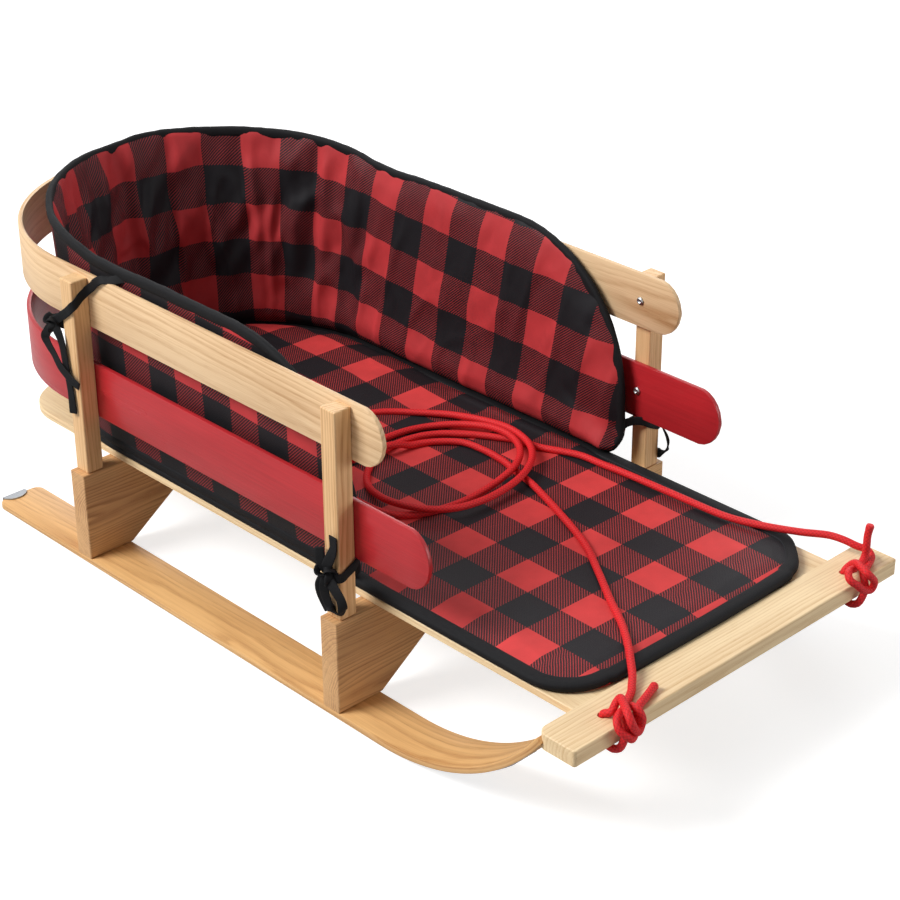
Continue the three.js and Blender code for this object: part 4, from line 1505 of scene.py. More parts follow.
    def build(self, store: Store) -> None:
        """Make the pad and its binding.

        Args:
            store: The finishes.
        """
        places = [-1 + 2 * j / self.columns for j in range(self.columns + 1)]
        marks = [[(across, y) for across in places] for y in self.rows_at()]
        piece = Padding.quilt("seat_pad_cloth", marks, self.sew, store.seat_check_painted_light)
        Padding.inflate(piece, self.swelling * MM)
        Padding.round_off(piece)
        self.rumple(piece)
        self.slacken(piece)
        settle(piece, "check_cloth", "seat_pad")
        self.bind(store)

    def rumple(self, piece: bpy.types.Object) -> None:
        """Press soft uneven quilting into the upper face.

        Args:
            piece: The pad.
        """
        for vertex in piece.data.vertices:
            x, y, z = vertex.co / MM
            if z < self.bottom + 4:
                vertex.co.z = max(vertex.co.z, self.bottom * MM)
                continue
            full = ease(14.0, 40.0, self.inside(x, y))
            soft = wrinkle(x / 70, y / 70, 3.1) * 0.9 + wrinkle(x / 28, y / 28, 7.7) * 0.4
            ripple = wrinkle((x + y) / 30, (y - x) / 80, 2.0) * ease(60.0, 200.0, y) * 1.8
            limit = self.bottom + self.thickness + 0.6 + self.swell(x, y) + ease(60.0, 150.0, y)
            vertex.co.z = min(vertex.co.z + (soft + ripple) * full * MM, limit * MM)

    def slacken(self, piece: bpy.types.Object) -> None:
        """Draw the right front corner in, as the sewing has drawn it in.

        Args:
            piece: The cloth or the binding.
        """
        corner = Vector((self.half_width - 9, self.front + 14))
        inward = Vector((-0.72, 0.69, 0.0))
        for vertex in piece.data.vertices:
            far = (vertex.co.xy / MM - corner).length
            vertex.co += inward * (self.slack * hill(far, 0.0, self.slack_reach) * MM)

    def bind(self, store: Store) -> None:
        """Carry the binding round the pad.

        Args:
            store: The finishes.
        """
        middle_z = self.bottom + self.binding_height / 2
        outline = self.outline()
        line, across = [], []
        for before, (x, y), after in zip(
            [outline[-1], *outline], outline, [*outline[1:], outline[0]]
        ):
            way = Vector((after[0] - before[0], after[1] - before[1], 0.0)).normalized()
            inward = Vector((-way.y, way.x, 0.0))
            line.append(Vector((x, y, middle_z)) * MM + inward * (self.binding_width / 2 * MM))
            across.append(inward)
        section = Sweep.flat_section(self.binding_width, self.binding_height, 16, 0.72)
        band = Sweep.carry("seat_pad_binding", line, section, store.binding, across, closed=True)
        self.slacken(band)
        settle(band, "black_tape")


@dataclass
class LinerWall:
    """The padded wall round the back and the sides, with its bound edge.

    Sizes are in millimetres, and a run is a length along the wall from the right front edge.
    """

    side: float = 171.2
    flare: float = 10.0
    back: float = 169.0
    back_flare: float = 24.0
    bottom: float = 119.4
    top: float = 326.5
    back_top: float = 343.0
    oval_start: float = 218.0
    front: float = -154.0
    shoulder: float = 175.0
    slope_end: float = 0.0
    heel_height: float = 26.0
    heel_depth: float = 18.0
    heel_pull: float = 5.0
    heel_pull_z: float = 149.0
    thickness: float = 12.0
    edge: float = 4.5
    flange: float = 3.5
    binding: float = 11.5
    binding_thickness: float = 7.4
    swelling: float = 2.2
    levels: int = 34
    edge_columns: tuple[float, ...] = (0.0, 0.35, 1.4, 3.2, 5.6, 8.6, 12.2, 16.4, 21.2)
    top_dips: tuple[Point, ...] = ((655.0, 26.0, 3.2), (820.0, 24.0, 2.2))
    folds: tuple[tuple[float, float, float, float, float], ...] = (
        (352, 9, 5.0, 0.16, 0.75), (377, 12, 7.0, 0.1, 0.5), (428, 8, 6.5, -0.06, 0.8),
        (462, 10, 5.5, 0.03, 0.55), (508, 7, 6.5, 0.0, 0.8), (548, 9, 4.5, 0.05, 0.55),
        (592, 7, 6.0, -0.03, 0.85), (640, 9, 7.0, 0.02, 0.75), (690, 8, 5.5, -0.04, 0.8),
        (742, 10, 6.0, 0.03, 0.6), (797, 9, 5.0, 0.05, 0.7), (853, 10, 5.5, -0.08, 0.6),
        (905, 12, 5.0, -0.12, 0.6),
    )
    arc: list[Pair] = field(default_factory=list)

    def __post_init__(self) -> None:
        """Measure the way round the half-oval at the height of the upper squares."""
        share, depth, steps = 0.86, 11, 360
        a = self.side + self.flare * share - depth
        b = self.back + self.back_flare * share - depth
        run, last = 0.0, (a, 0.0)
        self.arc = [(0.0, 0.0)]
        for i in range(1, steps + 1):
            angle = math.pi * i / steps
            point = (a * math.cos(angle), b * math.sin(angle))
            run += math.dist(point, last)
            last = point
            self.arc.append((run, angle))

    @property
    def straight(self) -> float:
        """Length of each straight side."""
        return self.oval_start - self.front

    @property
    def length(self) -> float:
        """Length of the wall round the sled."""
        return self.straight * 2 + self.arc[-1][0]

    def turn(self, run: float) -> float:
        """Give the angle round the back, 0 on the right and pi on the left, at a run."""
        past = min(max(run - self.straight, 0.0), self.arc[-1][0])
        low = min(bisect_right(self.arc, past, key=lambda step: step[0]), len(self.arc) - 1) - 1
        (r0, a0), (r1, a1) = self.arc[low], self.arc[low + 1]
        return a0 + (a1 - a0) * (past - r0) / (r1 - r0)

    def from_front(self, run: float) -> float:
        """Give the distance to the nearer front edge."""
        return min(run, self.length - run)

    def top_at(self, run: float) -> float:
        """Give the height of the top edge.

        Args:
            run: The place along the wall.

        Returns:
            The height.
        """
        near = self.from_front(run)
        if near >= self.straight:
            bend = math.sin(self.turn(run))
            high = self.top + (self.back_top - self.top) * max(bend, 0.0) ** 0.6
            dips = sum(deep * hill(run, middle, wide) for middle, wide, deep in self.top_dips)
            return high - dips + 1.0 * math.sin(run / 31) * bend
        y = self.front + near
        if y >= self.slope_end:
            return self.top - 2.0 * hill(near, 328, 30)
        share = (self.slope_end - y) / (self.slope_end - self.front)
        return self.shoulder + (self.top - self.shoulder) * math.sqrt(max(1 - share * share, 0.0))

    def bottom_at(self, run: float) -> float:
        """Give the height of the bottom edge.

        Args:
            run: The place along the wall.

        Returns:
            The height.
        """
        near = self.from_front(run)
        if near > self.heel_depth:
            return self.bottom
        share = 1 - near / self.heel_depth
        return self.bottom + self.heel_height * (1 - math.sqrt(max(1 - share * share, 0.0)))

    def height(self, run: float, up: float) -> float:
        """Give the height at a share of the wall's own height."""
        low = self.bottom_at(run)
        return low + (self.top_at(run) - low) * up

    def place(self, run: float, z: float, inset: float) -> Vector:
        """Give a point of the wall.

        Args:
            run: The place along the wall.
            z: Its height.
            inset: Its depth behind the outer face.

        Returns:
            The point, in metres.
        """
        share = (z - self.bottom) / (self.top - self.bottom)
        pull = self.heel_pull * hill(z, self.heel_pull_z, 14) * hill(self.from_front(run), 0.0, 26)
        across = self.side + self.flare * share - inset + pull
        back = self.back + self.back_flare * share - inset
        if run <= self.straight:
            return Vector((across, self.front + run, z)) * MM
        if run >= self.length - self.straight:
            return Vector((-across, self.front + self.length - run, z)) * MM
        angle = self.turn(run)
        y = self.oval_start + back * math.sin(angle)
        return Vector((across * math.cos(angle), y, z)) * MM

    def crease(self, run: float, z: float, up: float) -> float:
        """Give how far the inner face is pushed in by its gathers.

        Args:
            run: The place along the wall.
            z: Its height.
            up: Its share of the wall's height.

        Returns:
            The push, positive towards the sled's middle.
        """
        total = 0.0
        for centre, width, depth, lean, peak in self.folds:
            off = run - centre - lean * (z - 220) + 5 * wrinkle(centre, z / 55, 0.0)
            valley = 0.7 * hill(off, width * 1.6, width * 0.9)
            total += depth * (hill(off, 0.0, width) - valley) * (0.3 + 0.7 * hill(up, peak, 0.36))
        curve = ease(290.0, 430.0, self.from_front(run))
        total *= 0.25 + 0.55 * curve
        for reach, seed, height in ((52.0, 6.6, 4.6), (31.0, 9.4, 2.6)):
            spread = wrinkle((run + (z - 220) * 0.22) / reach, z / (reach * 2.6), seed)
            total += height * (0.42 + 0.58 * curve) * (max(0.0, 1 - abs(spread) * 4.5) - 0.35)
        hem = 0.2 + 0.8 * curve
        total += 5.0 * hem * hill(up, 1.0, 0.2) * wrinkle(run / 15, z / 110, 5.0)
        total += 4.0 * hem * hill(up, 0.0, 0.26) * wrinkle(run / 17, z / 70, 8.5)
        slant = wrinkle((run * 0.8 + z * 0.6) / 21, (z * 0.8 - run * 0.6) / 62, 2.2)
        total += 4.6 * (0.28 + 0.72 * curve) * slant
        total += 2.4 * wrinkle(run / 85, z / 70, 1.3)
        return min(max(total, -5.5), 9.0)

    def inner_spot(self, run: float, z: float) -> Pair:
        """Args:
            run: The place along the wall.
            z: Its height.

        Returns:
            The coordinates, in metres.
        """
        lean = 0.13 * (1 - ease(330.0, 520.0, run))
        rise = 20.0 * ease(180.0, 520.0, run) - 4.0 * (1 - ease(20.0, 120.0, run))
        slack = 1.5 + 2.5 * ease(290.0, 430.0, self.from_front(run))
        aside = slack * wrinkle(run / 62, z / 46, 12.5)
        above = slack * wrinkle(run / 50, z / 60, 15.5)
        return ((run - lean * (300 - z) - 74.0 + aside) * MM, (z - rise - 280.0 + above) * MM)

    def outer_spot(self, run: float, z: float) -> Pair:
        from_left = self.length - run
        return ((from_left - 127.0) * MM, (z - 232.0 - 0.03 * (from_left - 90)) * MM)

    def sew(self, run: float, up: float, face: int) -> tuple[Vector, Pair]:
        """Place a point of the cloth.

        Args:
            run: Its place along the wall.
            up: Its share of the wall's height.
            face: 0 inside and 1 outside.

        Returns:
            The point and its coordinates in the check, in metres.
        """
        z = self.height(run, up)
        if face:
            return self.place(run, z, 0.0), self.outer_spot(run, z)
        side = ease(0.0, 16.0, self.from_front(run))
        if up > 0.5:
            fullness = max(math.sin(math.pi * up), 0.0) ** 0.5
        else:
            fullness = 1 - (1 - min(up / 0.05, 1.0)) ** 2
        foot = self.flange * hill(up, 0.04, 0.12) * fullness * side
        depth = self.edge + (self.thickness - self.edge) * fullness * side + foot
        return self.place(run, z, depth), self.inner_spot(run, z)

    def columns(self) -> list[float]:
        """Choose where the columns of the grid stand, closer together at the front edges.

        Returns:
            Their places along the wall.
        """
        half = list(self.edge_columns)
        while half[-1] < self.slope_end - self.front:
            half.append(half[-1] + 5.4)
        while half[-1] < self.length / 2 - 3:
            half.append(half[-1] + 5.6)
        return [*half, *(self.length - run for run in reversed(half))]

    def build(self, store: Store) -> None:
        """Make the wall and its binding.

        Args:
            store: The finishes.
        """
        shares = [level / self.levels for level in range(self.levels + 1)]
        marks = [[(run, share) for run in self.columns()] for share in shares]
        piece = Padding.quilt("liner_wall_cloth", marks, self.sew, store.liner_check_painted_shade)
        Padding.inflate(piece, self.swelling * MM)
        Padding.round_off(piece)
        self.gather(piece)
        settle(piece, "check_cloth", "liner_wall")
        self.bind(store)

    def gather(self, piece: bpy.types.Object) -> None:
        """Press the gathers into the inner face and keep the outer one inside the rails.

        Args:
            piece: The wall.
        """
        marks = piece.data.attributes["lay"].data
        for vertex, mark in zip(piece.data.vertices, marks):
            run, up, face = mark.vector
            z = self.height(run, up)
            hem = max(math.sin(math.pi * up), 0.0) ** 0.4 * ease(0.0, 14.0, self.from_front(run))
            outward = (self.place(run, z, 0.0) - self.place(run, z, 6.0)).normalized()
            soft = wrinkle(run / 60, z / 48, 4.4) * 1.4 - 0.6
            push = soft * face - self.crease(run, z, up) * (1 - face)
            vertex.co += outward * (push * hem * MM)

    def bind(self, store: Store) -> None:
        """Carry the binding round the wall's edge.

        Args:
            store: The finishes.
        """
        inset = self.binding / 2 - 1.2
        spacing = 2.5
        columns = self.columns()
        top = [(run, self.top_at(run)) for run in columns]
        low = [(run, self.bottom_at(run)) for run in reversed(columns)]
        loop: list[Pair] = []
        for point in (*top, *low):
            if not loop or math.dist(point, loop[-1]) > spacing:
                loop.append(point)
        if math.dist(loop[0], loop[-1]) < spacing:
            loop.pop()
        line: list[Vector] = []
        across: list[Vector] = []
        for before, (run, z), after in zip([loop[-1], *loop], loop, [*loop[1:], loop[0]]):
            way = Vector((after[0] - before[0], after[1] - before[1])).normalized()
            inward = Vector((way.y, -way.x))
            centre, ahead = (
                self.place(run + inward.x * depth, z + inward.y * depth, self.edge / 2)
                for depth in (inset, inset + 2)
            )
            line.append(centre)
            across.append((ahead - centre).normalized())
        around = zip([line[-1], *line], line, [*line[1:], line[0]])
        smoothed = [(before + here * 2 + after) / 4 for before, here, after in around]
        section = Sweep.flat_section(self.binding, self.binding_thickness, 16, 0.72)
        name = "liner_wall_binding"
        band = Sweep.carry(name, smoothed, section, store.binding, across, closed=True)
        for vertex in band.data.vertices:
            coarse, fine = (wrinkle(*(vertex.co * scale)) for scale in (90.0, 260.0))
            vertex.co += vertex.normal * ((coarse * 0.5 + fine * 0.22) * MM)
        settle(band, "black_tape")


@dataclass(frozen=True)
class Tape:
    """A length of tape on the right side of the sled, in millimetres."""

    width: float
    points: tuple[Point, ...]
    across: tuple[Point, ...]


@dataclass(frozen=True)
class Tie:
    """A tie on the right side of the sled: the bands round its post, its knot and its tails."""

    post: str
    bands: tuple[Tape, ...]
    knot: Point
    facing: Point
    knot_size: float
    tails: tuple[Tape, ...]


FRONT_TIE = Tie(
    post="front",
    bands=(
        Tape(
            9.0,
            (
                (173.5, -152, 152), (181, -160, 156), (186, -168.3, 157), (191, -170.9, 154.5),
                (200, -170.9, 149.5), (207, -170.8, 146.5), (210.5, -168.5, 146),
                (210.9, -164, 146.5), (212.5, -159, 148.5), (211.2, -153, 148.5),
                (207, -149.2, 148.5), (198, -149.2, 149), (189, -149.2, 149), (176.0, -150.3, 148),
            ),
            (UP,) * 14,
        ),
    ),
    knot=(214.2, -158.5, 149.5),
    facing=(1.0, -0.25, 0.0),
    knot_size=9.0,
    tails=(
        Tape(
            10.0,
            (
                (214, -158.5, 151), (215.2, -160, 158), (213.8, -163, 166), (212.6, -166, 175),
                (212.8, -166.6, 188.5),
            ),
            (
                (0.0, 1.0, 0.1), (0.35, 1.0, 0.3), (0.2, 1.0, 0.45), (-0.1, 1.0, 0.1),
                (0.0, 1.0, 0.0),
            ),
        ),
        Tape(
            8.5,
            ((214, -157.5, 150), (216, -154.5, 158), (216, -152, 166), (214.6, -150.5, 173)),
            ((0.3, 1.0, 0.0), (0.6, 1.0, 0.1), (0.8, 1.0, 0.0), (0.7, 1.0, -0.2)),
        ),
        Tape(
            9.0,
            (
                (214.5, -158, 147), (216.6, -157, 138), (215.5, -157.5, 126), (213.6, -161, 115.5),
                (212.8, -169, 111.5), (213.2, -176.5, 118), (214.6, -177, 129), (215.6, -169, 139),
                (214.6, -161, 146),
            ),
            (
                (0.3, 1.0, 0.0), (0.7, 1.0, 0.2), (0.5, 1.0, 0.2), (0.4, 1.0, 0.7),
                (0.9, 0.3, 0.8), (0.8, 0.4, -0.8), (0.6, 1.0, -0.4), (0.5, 1.0, 0.2),
                (0.3, 1.0, 0.0),
            ),
        ),
        Tape(
            9.0,
            (
                (214.8, -156, 147), (217.2, -152.5, 138), (216.0, -152, 127), (214.2, -154, 119),
                (213.4, -158.5, 111),
            ),
            (
                (0.5, 1.0, 0.1), (0.8, 1.0, 0.0), (0.5, 1.0, -0.3), (0.5, 1.0, -0.4),
                (0.3, 1.0, -0.4),
            ),
        ),
    ),
)

REAR_TIE = Tie(
    post="rear",
    bands=(
        Tape(
            9.0,
            (
                (178.5, 157, 319), (181.5, 166, 316), (186, 176, 313), (190.2, 184.5, 312),
                (192.1, 190.5, 308.5), (192.3, 198, 301.5), (193.5, 204.6, 296),
                (199, 206.3, 291.5), (206, 206.2, 286), (210.5, 208.4, 282), (210.8, 217, 274.5),
                (210.9, 226, 268), (212, 232.5, 263), (212.6, 239.5, 257.5),
            ),
            (
                (0.1, 0.6, 1.0), (0.1, 0.8, 0.7), (0.0, 1.0, 0.3), (0.0, 1.0, 0.2), (0.0, 1.0, 0.5),
                (0.0, 0.8, 0.8), (0.0, 0.5, 1.0), (0.0, 0.2, 1.0), UP, (0.0, 0.4, 1.0),
                *((0.0, 0.6, 1.0),) * 4,
            ),
        ),
        Tape(
            9.0,
            (
                (211, 236, 258), (207.5, 231, 257), (203, 228.2, 255.5), (197, 227.8, 253),
                (190, 227.7, 250.5), (181.5, 227.6, 249),
            ),
            (UP,) * 6,
        ),
    ),
    knot=(212.6, 240, 257.5),
    facing=(1.0, 0.2, 0.0),
    knot_size=8.4,
    tails=(
        Tape(
            9.0,
            (
                (213.2, 241, 256), (214.6, 247.5, 246), (214.8, 251.6, 239.5), (214.4, 249, 233.5),
                (214.2, 240, 224.5), (215.2, 229, 214.5), (214.6, 214, 206), (213.2, 203, 201),
            ),
            (
                (0.1, 1.0, 0.5), (0.3, 1.0, 0.6), (0.6, 1.0, 0.1), (0.3, 1.0, -0.6),
                (0.1, 1.0, -0.9), (0.2, 1.0, -1.0), (0.2, 1.0, -1.2), (0.0, 1.0, -1.2),
            ),
        ),
        Tape(
            9.0,
            (
                (213.4, 237, 258), (213.6, 230, 250), (212.8, 226.2, 238), (212.2, 224, 216),
                (211.8, 220.5, 190), (212.4, 218.5, 167),
            ),
            (
                (0.1, 1.0, 0.3), (0.4, 1.0, 0.2), (0.2, 1.0, 0.1), (0.1, 1.0, 0.1),
                (0.1, 1.0, 0.1), (0.3, 1.0, 0.1),
            ),
        ),
    ),
)


@dataclass
class Ties:
    """The black tapes that tie the liner to the four posts."""

    ties: tuple[Tie, ...] = (FRONT_TIE, REAR_TIE)
    thickness: float = 1.5
    step: float = 1.6
    knot_steps: int = 90
    knot_depth: float = 0.42
    knot_tape: Pair = (0.82, 1.7)

    def lay(
        self, tape: Tape, side: int, face: int, material: bpy.types.Material
    ) -> bpy.types.Object:
        """Lay a flat tape along its line.

        Args:
            tape: The tape.
            side: 1 on the right and -1 on the left.
            face: 1 where its directions across are those of the right side, -1 for the left.
            material: Its finish.

        Returns:
            The tape's piece.
        """
        marks = [Vector((side * x, y, z)) * MM for x, y, z in tape.points]
        across = [Vector((face * x, y, z)) for x, y, z in tape.across]
        line = smooth_line(marks, self.step * MM)
        sides = []
        for point in line:
            stretches = []
            for k, (a, b) in enumerate(zip(marks, marks[1:])):
                along = (point - a).dot(b - a) / max((b - a).length_squared, 1e-12)
                share = min(max(along, 0.0), 1.0)
                stretches.append(((point - a.lerp(b, share)).length, k, share))
            _, k, share = min(stretches)
            sides.append(across[k].lerp(across[k + 1], share).normalized())
        section = Sweep.flat_section(tape.width, self.thickness, 12, 0.5)
        return Sweep.carry("tape", line, section, material, sides)

    def knot(self, tie: Tie, side: int, material: bpy.types.Material) -> bpy.types.Object:
        """Tie a small flat knot.

        Args:
            tie: The tie that it belongs to.
            side: 1 on the right and -1 on the left.
            material: Its finish.

        Returns:
            The knot.
        """
        x, y, z = tie.knot
        centre = Vector((side * x, y, z)) * MM
        normal = Vector((side * tie.facing[0], tie.facing[1], tie.facing[2])).normalized()
        level = Vector(UP).cross(normal).normalized()
        up = normal.cross(level)
        size = tie.knot_size
        points: list[Vector] = []
        sides: list[Vector] = []
        for i in range(self.knot_steps):
            t = 2 * math.pi * i / self.knot_steps
            a = (math.sin(t) + 2 * math.sin(2 * t)) / 3
            b = (math.cos(t) - 2 * math.cos(2 * t)) / 3
            c = -math.sin(3 * t)
            off = level * (a * size) + up * (b * size) + normal * (c * size * self.knot_depth)
            points.append(centre + off * MM)
            turned = normal * 0.75 + up * math.cos(t) * 0.6 + level * math.sin(t) * 0.6
            sides.append(turned.normalized())
        section = Sweep.flat_section(size * self.knot_tape[0], self.knot_tape[1], 10, 0.6)
        return Sweep.carry("knot", points, section, material, sides, closed=True)

    def build(self, store: Store) -> None:
        """Make the four ties.

        Args:
            store: The finishes.
        """
        for name, side in SIDES:
            for tie in self.ties:
                pieces = [self.lay(tape, side, 1, store.tape) for tape in tie.bands]
                pieces.append(self.knot(tie, side, store.tape))
                pieces += [self.lay(tape, side, side, store.tape) for tape in tie.tails]
                pick_only(*pieces)
                bpy.ops.object.join()
                joined = pieces[0]
                joined.name = joined.data.name = f"liner_tie_{tie.post}_{name}"
                settle(joined, "black_tape", f"tie_{tie.post}_{name}")


@dataclass
class PullRope:
    """One rope from a knot at the crossbar's left end, through a coil, to one at its right end.

    Sizes are in millimetres. Routes lie on the seat, and strands and knots are set out from the
    crossbar's front edge and middle height.
    """

    diameter: float = 7.0
    sides: int = 18
    step: float = 2.6
    knot_step: float = 1.5
    seat_z: float = 122.9
    bar_z: float = 112.0
    front: float = -455.0
    centre: Pair = (20.0, -52.0)
    half_length: float = 104.0
    half_width: float = 84.0
    lift: float = 7.9
    turns: Pair = (-0.07, 2.24)
    steps: int = 56
    reach_shares: tuple[float, ...] = (
        1.108, 0.857, 0.762, 0.788, 0.776, 0.724, 0.726, 0.783, 0.923, 1.056, 0.995, 0.984, 0.964,
        0.946, 1.033, 1.334, 1.713, 1.459, 1.069, 0.952, 0.991, 0.859, 0.782, 0.83, 0.851, 0.859,
        0.906, 0.98, 0.98, 0.98, 0.98,
    )
    lift_shares: tuple[float, ...] = (
        0, 0, 0, 0, 0, 0, 0, 0.5, 1, 1, 0.8, 1, 1, 1, 0.6, 0,
        0, 0, 0, 0, 0, 0, 0.3, 1, 1, 1, 0.5, 0, 0, 0, 0,
    )
    right_route: tuple[Point, ...] = (
        (181, -402, 5.1), (170, -378.2, 3.1), (157, -345, 1.2), (147.5, -310, 0), (144.3, -250, 0),
        (142.3, -188.8, 0), (140, -158.8, 0), (138, -130.9, 0), (131, -112, 0),
    )
    left_route: tuple[Point, ...] = (
        (2, 34.5, 0), (-9, 38.5, 0), (-21, 37.5, 0), (-30, 29, 0), (-30, 17.5, 1), (-21, 11, 5),
        (-8, 8.2, 7.8), (6, 5.6, 7.9), (18, 3, 6), (32, 0, 1), (46.3, -4.1, 0), (62.4, -16, 0),
        (74.8, -31.9, 0), (78.1, -56.9, 0), (75.5, -87.4, 0), (70.5, -105.3, 0), (63.3, -135.9, 0),
        (55.7, -157.5, 0), (41.4, -194.1, 0), (15.6, -251.5, 0), (-10, -291, 0),
        (-37.9, -331.4, 0), (-60.4, -365.9, 0), (-85.1, -396.3, 0), (-97, -409, -1),
        (-108, -421, -4),
    )
    left_strand: tuple[Point, ...] = (
        (-116, 27.5, 4.6), (-122, 22.5, 4.1), (-132, 17, 3.8), (-144, 10.8, 3.9),
        (-150.5, 4.5, 4.6), (-155.5, -1.5, 3.2), (-158.5, -5.2, -2.5), (-160.8, -5.8, -9),
        (-162.5, -5.2, -14.5), (-164, -3.4, -18.9), (-165, 2, -21.7), (-163, 11, -22.7),
        (-160.6, 17.5, -21.5), (-160, 19.5, -16), (-160, 19.5, -3),
    )
    left_knot: tuple[Point, ...] = (
        (-160, 19.5, -9), (-160, 19.5, -3), (-160, 18.6, 1.8), (-157.2, 13, 5), (-149.3, 14.9, 9),
        (-146.1, 13.6, 13), (-152.8, 3.3, 15.5), (-162, -9.3, 16.5), (-163.2, -15, 10.2),
        (-152.1, -12, -4.6), (-143.8, -8, -4.8), (-144.8, -9.5, 5.3), (-145, -4.1, 10.5),
        (-144.3, 4.1, 9), (-155.8, 3.5, 9), (-167.4, -2.7, 9), (-169.4, -8, 2.9),
        (-163.5, -12.8, -4.5), (-154, -8.5, -11.5), (-147.4, -4.6, -11.9), (-146.5, -3.9, -1.6),
        (-135.8, 2.8, 3.7), (-119.4, 8.8, 3.6), (-101.4, 14.8, 4),
    )
    right_strand: tuple[Point, ...] = (
        (185, 40, 15), (189, 28, 12), (193.5, 20, 9.5), (192, 13.5, 6.5), (181, 8.5, 4.4),
        (166, 3, 4.2), (160.5, -2, 3.2), (158.6, -5.3, -2.5), (157, -5.9, -9), (154.5, -5.4, -14.5),
        (151.8, -3.6, -19), (151, 2, -21.7), (154, 11, -22.7), (158.8, 17.5, -21.5),
        (160, 19.5, -16), (160, 19.5, -3),
    )
    right_knot: tuple[Point, ...] = (
        (160, 19.5, -9), (160, 19.5, -3), (160.5, 19, 2), (163.8, 17.2, 6), (164.2, 11.4, 11.5),
        (156, -2, 15.5), (153.6, -10.6, 14), (162.5, -12, 2.4), (161, -10.5, -5.2),
        (148, -9.5, 0), (143, -8.5, 5.2), (137.4, -3.3, 11.5), (141.9, 2.1, 14.5),
        (161.3, 9.2, 8.4), (176.4, 12.3, 7.2), (181, 12.6, 13), (181.5, 12.5, 21),
        (183, 13.5, 31), (185.3, 13, 42),
    )

    @staticmethod
    def share(shares: Sequence[float], place: float) -> float:
        """Read a smooth value between shares.

        Args:
            shares: The values at whole places.
            place: Where to read.

        Returns:
            The value of the cubic through the four nearest.
        """
        at = math.floor(place)
        t = place - at
        a, b, c, d = (shares[min(max(at + k, 0), len(shares) - 1)] for k in (-1, 0, 1, 2))
        return b + (t / 2) * (c - a + t * (2 * a - 5 * b + 4 * c - d + t * (3 * (b - c) + d - a)))

    def coil(self) -> list[Vector]:
        """Lay the coil's strand on the seat.

        Returns:
            Its points, in metres.
        """
        points: list[Vector] = []
        for i in range(self.steps + 1):
            turn = self.turns[0] + (self.turns[1] - self.turns[0]) * i / self.steps
            place = turn * 12 + 1
            reach = self.share(self.reach_shares, place)
            lift = min(max(self.share(self.lift_shares, place), 0.0), 1.0)
            angle = turn * 2 * math.pi
            x = self.centre[0] + self.half_length * reach * math.cos(angle)
            y = self.centre[1] + self.half_width * reach * math.sin(angle)
            points.append(Vector((x, y, self.seat_z + self.lift * lift)) * MM)
        return points

    def on_seat(self, route: Sequence[Point]) -> list[Vector]:
        """Place a route that lies on the seat."""
        return [Vector((x, y, self.seat_z + z)) * MM for x, y, z in route]

    def at_bar(self, route: Sequence[Point]) -> list[Vector]:
        """Place a route at the crossbar."""
        return [Vector((x, self.front + y, self.bar_z + z)) * MM for x, y, z in route]

    def build(self, store: Store) -> None:
        """Make the rope and the two knots that hold it.

        Args:
            store: The finishes.
        """
        there = [*self.on_seat(self.right_route), *self.coil(), *self.on_seat(self.left_route)]
        route = [
            *reversed(self.at_bar(self.left_strand)), *reversed(there),
            *self.at_bar(self.right_strand),
        ]
        line = smooth_line(route, self.step * MM)
        section = Sweep.round_section(self.diameter / 2 * MM, self.sides)
        rope = Sweep.carry("pull_rope", line, section, store.rope)
        self.stretch_round(rope)
        settle(rope, "red_rope", "rope_left_stretch", "rope_coil", "rope_right_stretch")
        for name, points in (("left", self.left_knot), ("right", self.right_knot)):
            way = smooth_line(self.at_bar(points), self.knot_step * MM)
            tip = self.blunt(line_length(way))
            end = Sweep.carry(f"rope_end_{name}", way, section, store.rope, shape=tip)
            self.stretch_round(end)
            settle(end, "red_rope", f"rope_knot_{name}")
        length = line_length(line)
        log.info("pull_rope: %.3f m between its holes", length)
        tuple(line[0])
        [tuple(p) for p in line]

    @staticmethod
    def stretch_round(piece: bpy.types.Object) -> None:
        """Turn the run round the rope into whole turns of 0 to 1.

        Args:
            piece: A rope piece with its run in metres.
        """
        run = piece.data.uv_layers["run"].data
        girth = max(entry.uv.y for entry in run)
        for entry in run:
            entry.uv = (entry.uv.x, entry.uv.y / girth)

    @staticmethod
    def blunt(length: float) -> Callable[[float], float]:
        """Shape a rope whose end is fused to a blunt tip.

        Args:
            length: The rope's length, in metres.

        Returns:
            The section's scale at a length along it.
        """

        def scale(run: float) -> float:
            """Swell the rope just before its end and narrow it at the tip."""
            left = length - run
            swell = 1.0 + 0.1 * hill(left, 2 * MM, 3 * MM)
            return swell * min(1.0, 0.84 + 0.16 * math.sqrt(max(left, 0.0) / (1.2 * MM)))

        return scale


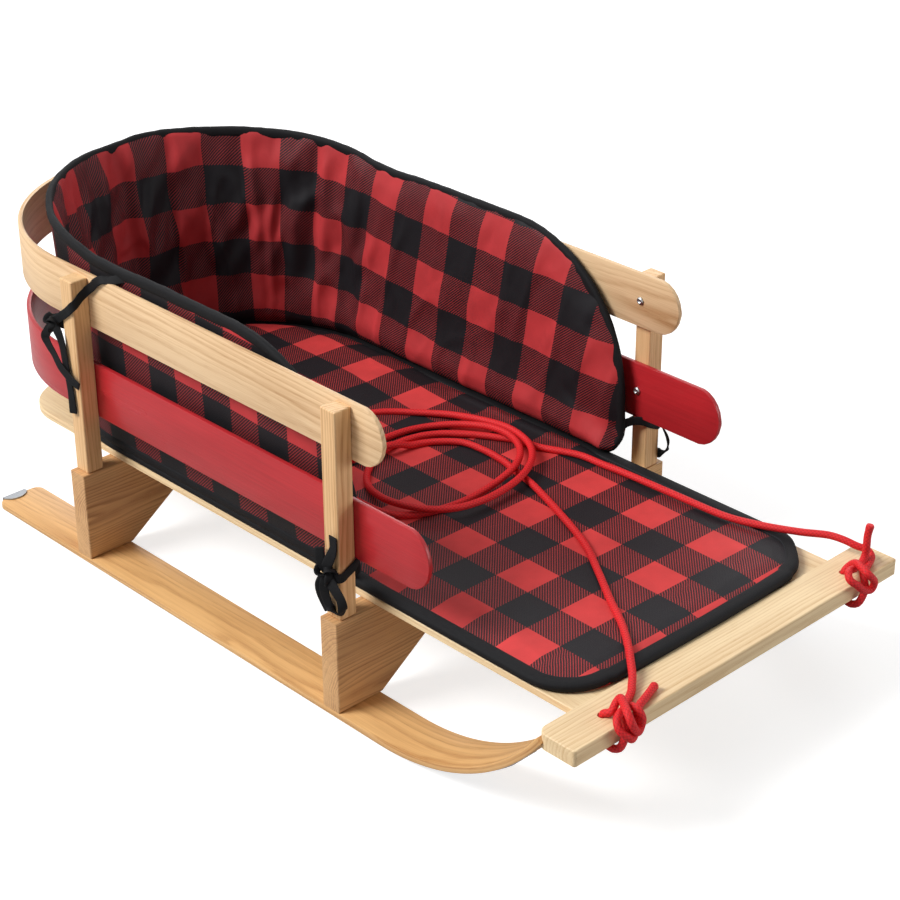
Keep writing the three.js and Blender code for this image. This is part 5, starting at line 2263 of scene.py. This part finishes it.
@dataclass
class Studio:
    """Camera, lamps, floor and background."""

    azimuth: float = -43.713
    elevation: float = 28.080
    roll: float = -0.304
    place: Point = (-1273.44, -1423.2, 1147.9)
    lens: float = 88.434
    sensor: float = 36.0
    shift: Pair = (-0.00077, 0.00047)
    lamps: tuple[tuple[str, Point, float, float, float], ...] = (
        ("key_light", (-3.95, 2.2, 4.5), 0.15, 2.8, 445.0),
        ("top_light", (0.4, 0.4, 5.2), 0.1, 4.4, 56.0),
        ("rim_light", (3.2, 3.0, 2.4), 0.15, 2.6, 50.0),
        ("fill_light", (2.6, -4.4, 1.3), 0.1, 2.4, 82.0),
    )
    ambient: float = 0.07
    floor_size: float = 30.0
    floor_grey: float = 0.5
    floor_glow: float = 0.74

    def camera(self) -> None:
        """Set the camera at the photograph's viewing angle."""
        az, el, roll = (math.radians(a) for a in (self.azimuth, self.elevation, self.roll))
        right = Vector((math.cos(az), math.sin(az), 0.0))
        back = Vector((math.sin(az) * math.cos(el), -math.cos(az) * math.cos(el), math.sin(el)))
        up = back.cross(right)
        side = right * math.cos(roll) + up * math.sin(roll)
        head = up * math.cos(roll) - right * math.sin(roll)
        data = bpy.data.cameras.new("camera")
        data.lens = self.lens
        data.sensor_width = self.sensor
        data.sensor_fit = "HORIZONTAL"
        data.clip_end = 50.0
        data.shift_x, data.shift_y = self.shift
        eye = bpy.data.objects.new("camera", data)
        turn = Matrix((side, head, back)).transposed().to_4x4()
        eye.matrix_world = Matrix.Translation(Vector(self.place) * MM) @ turn
        bpy.context.scene.collection.objects.link(eye)
        bpy.context.scene.camera = eye

    def lamp(self, name: str, place: Point, aim: float, size: float, power: float) -> None:
        """Hang a square soft light.

        Args:
            name: Its name.
            place: Where it hangs, in metres.
            aim: How high above the floor's middle it points.
            size: Its side.
            power: Its power in watts.
        """
        data = bpy.data.lights.new(name, "AREA")
        data.shape = "SQUARE"
        data.size = size
        data.energy = power
        lamp = bpy.data.objects.new(name, data)
        turn = (Vector((0.0, 0.0, aim)) - Vector(place)).to_track_quat("-Z", "Y")
        lamp.matrix_world = Matrix.Translation(place) @ turn.to_matrix().to_4x4()
        bpy.context.scene.collection.objects.link(lamp)

    def floor(self) -> None:
        """Lay the pale floor."""
        r = Recipe("floor")
        path = r.node("ShaderNodeLightPath", None, None, "Is Camera Ray")
        grey = (self.floor_grey, self.floor_grey, self.floor_grey, 1.0)
        paper = r.node("ShaderNodeBsdfPrincipled", None, {"Base Color": grey, "Roughness": 0.9})
        glow = r.node("ShaderNodeEmission", None, {"Color": WHITE, "Strength": self.floor_glow})
        both = r.node("ShaderNodeAddShader", None, {0: paper, 1: glow})
        seen = r.node("ShaderNodeMixShader", None, {0: path, 1: paper, 2: both})
        bpy.ops.object.select_all(action="DESELECT")
        bpy.ops.mesh.primitive_plane_add(size=self.floor_size, location=(0.0, 0.0, 0.0))
        ground = bpy.context.object
        ground.name = "floor"
        ground.data.materials.append(r.close("Material", seen))

    def world(self) -> None:
        """Light the scene softly from all round, with white where the camera sees past it."""
        r = Recipe("studio", bpy.data.worlds)
        rays = ("Is Camera Ray", "Is Glossy Ray", "Is Transmission Ray")
        camera, glossy, through = (r.node("ShaderNodeLightPath", None, None, ray) for ray in rays)
        seen = camera.sum("MAXIMUM", camera.sum("MAXIMUM", camera, glossy), through)
        soft, white = (
            r.node("ShaderNodeBackground", None, {0: WHITE, 1: level})
            for level in (self.ambient, 1.0)
        )
        both = r.node("ShaderNodeMixShader", None, {0: seen, 1: soft, 2: white})
        bpy.context.scene.world = r.close("World", both)

    def build(self) -> None:
        """Set up the studio."""
        for lamp in self.lamps:
            self.lamp(*lamp)
        self.floor()
        self.world()
        bpy.context.scene.view_settings.view_transform = "Standard"


def main() -> None:
    """Build the sled in order and report each sub-assembly."""
    logging.basicConfig(level=logging.INFO, format="%(message)s")
    studio = Studio()
    studio.camera()
    store = Store()
    for assembly in (PullRope, Rails, Runners, Joinery, ScrewHeads, SeatPad, LinerWall, Ties):
        assembly().build(store)
        log.info("%s done", assembly.__name__)
    studio.build()


if __name__ == "__main__":
    main()
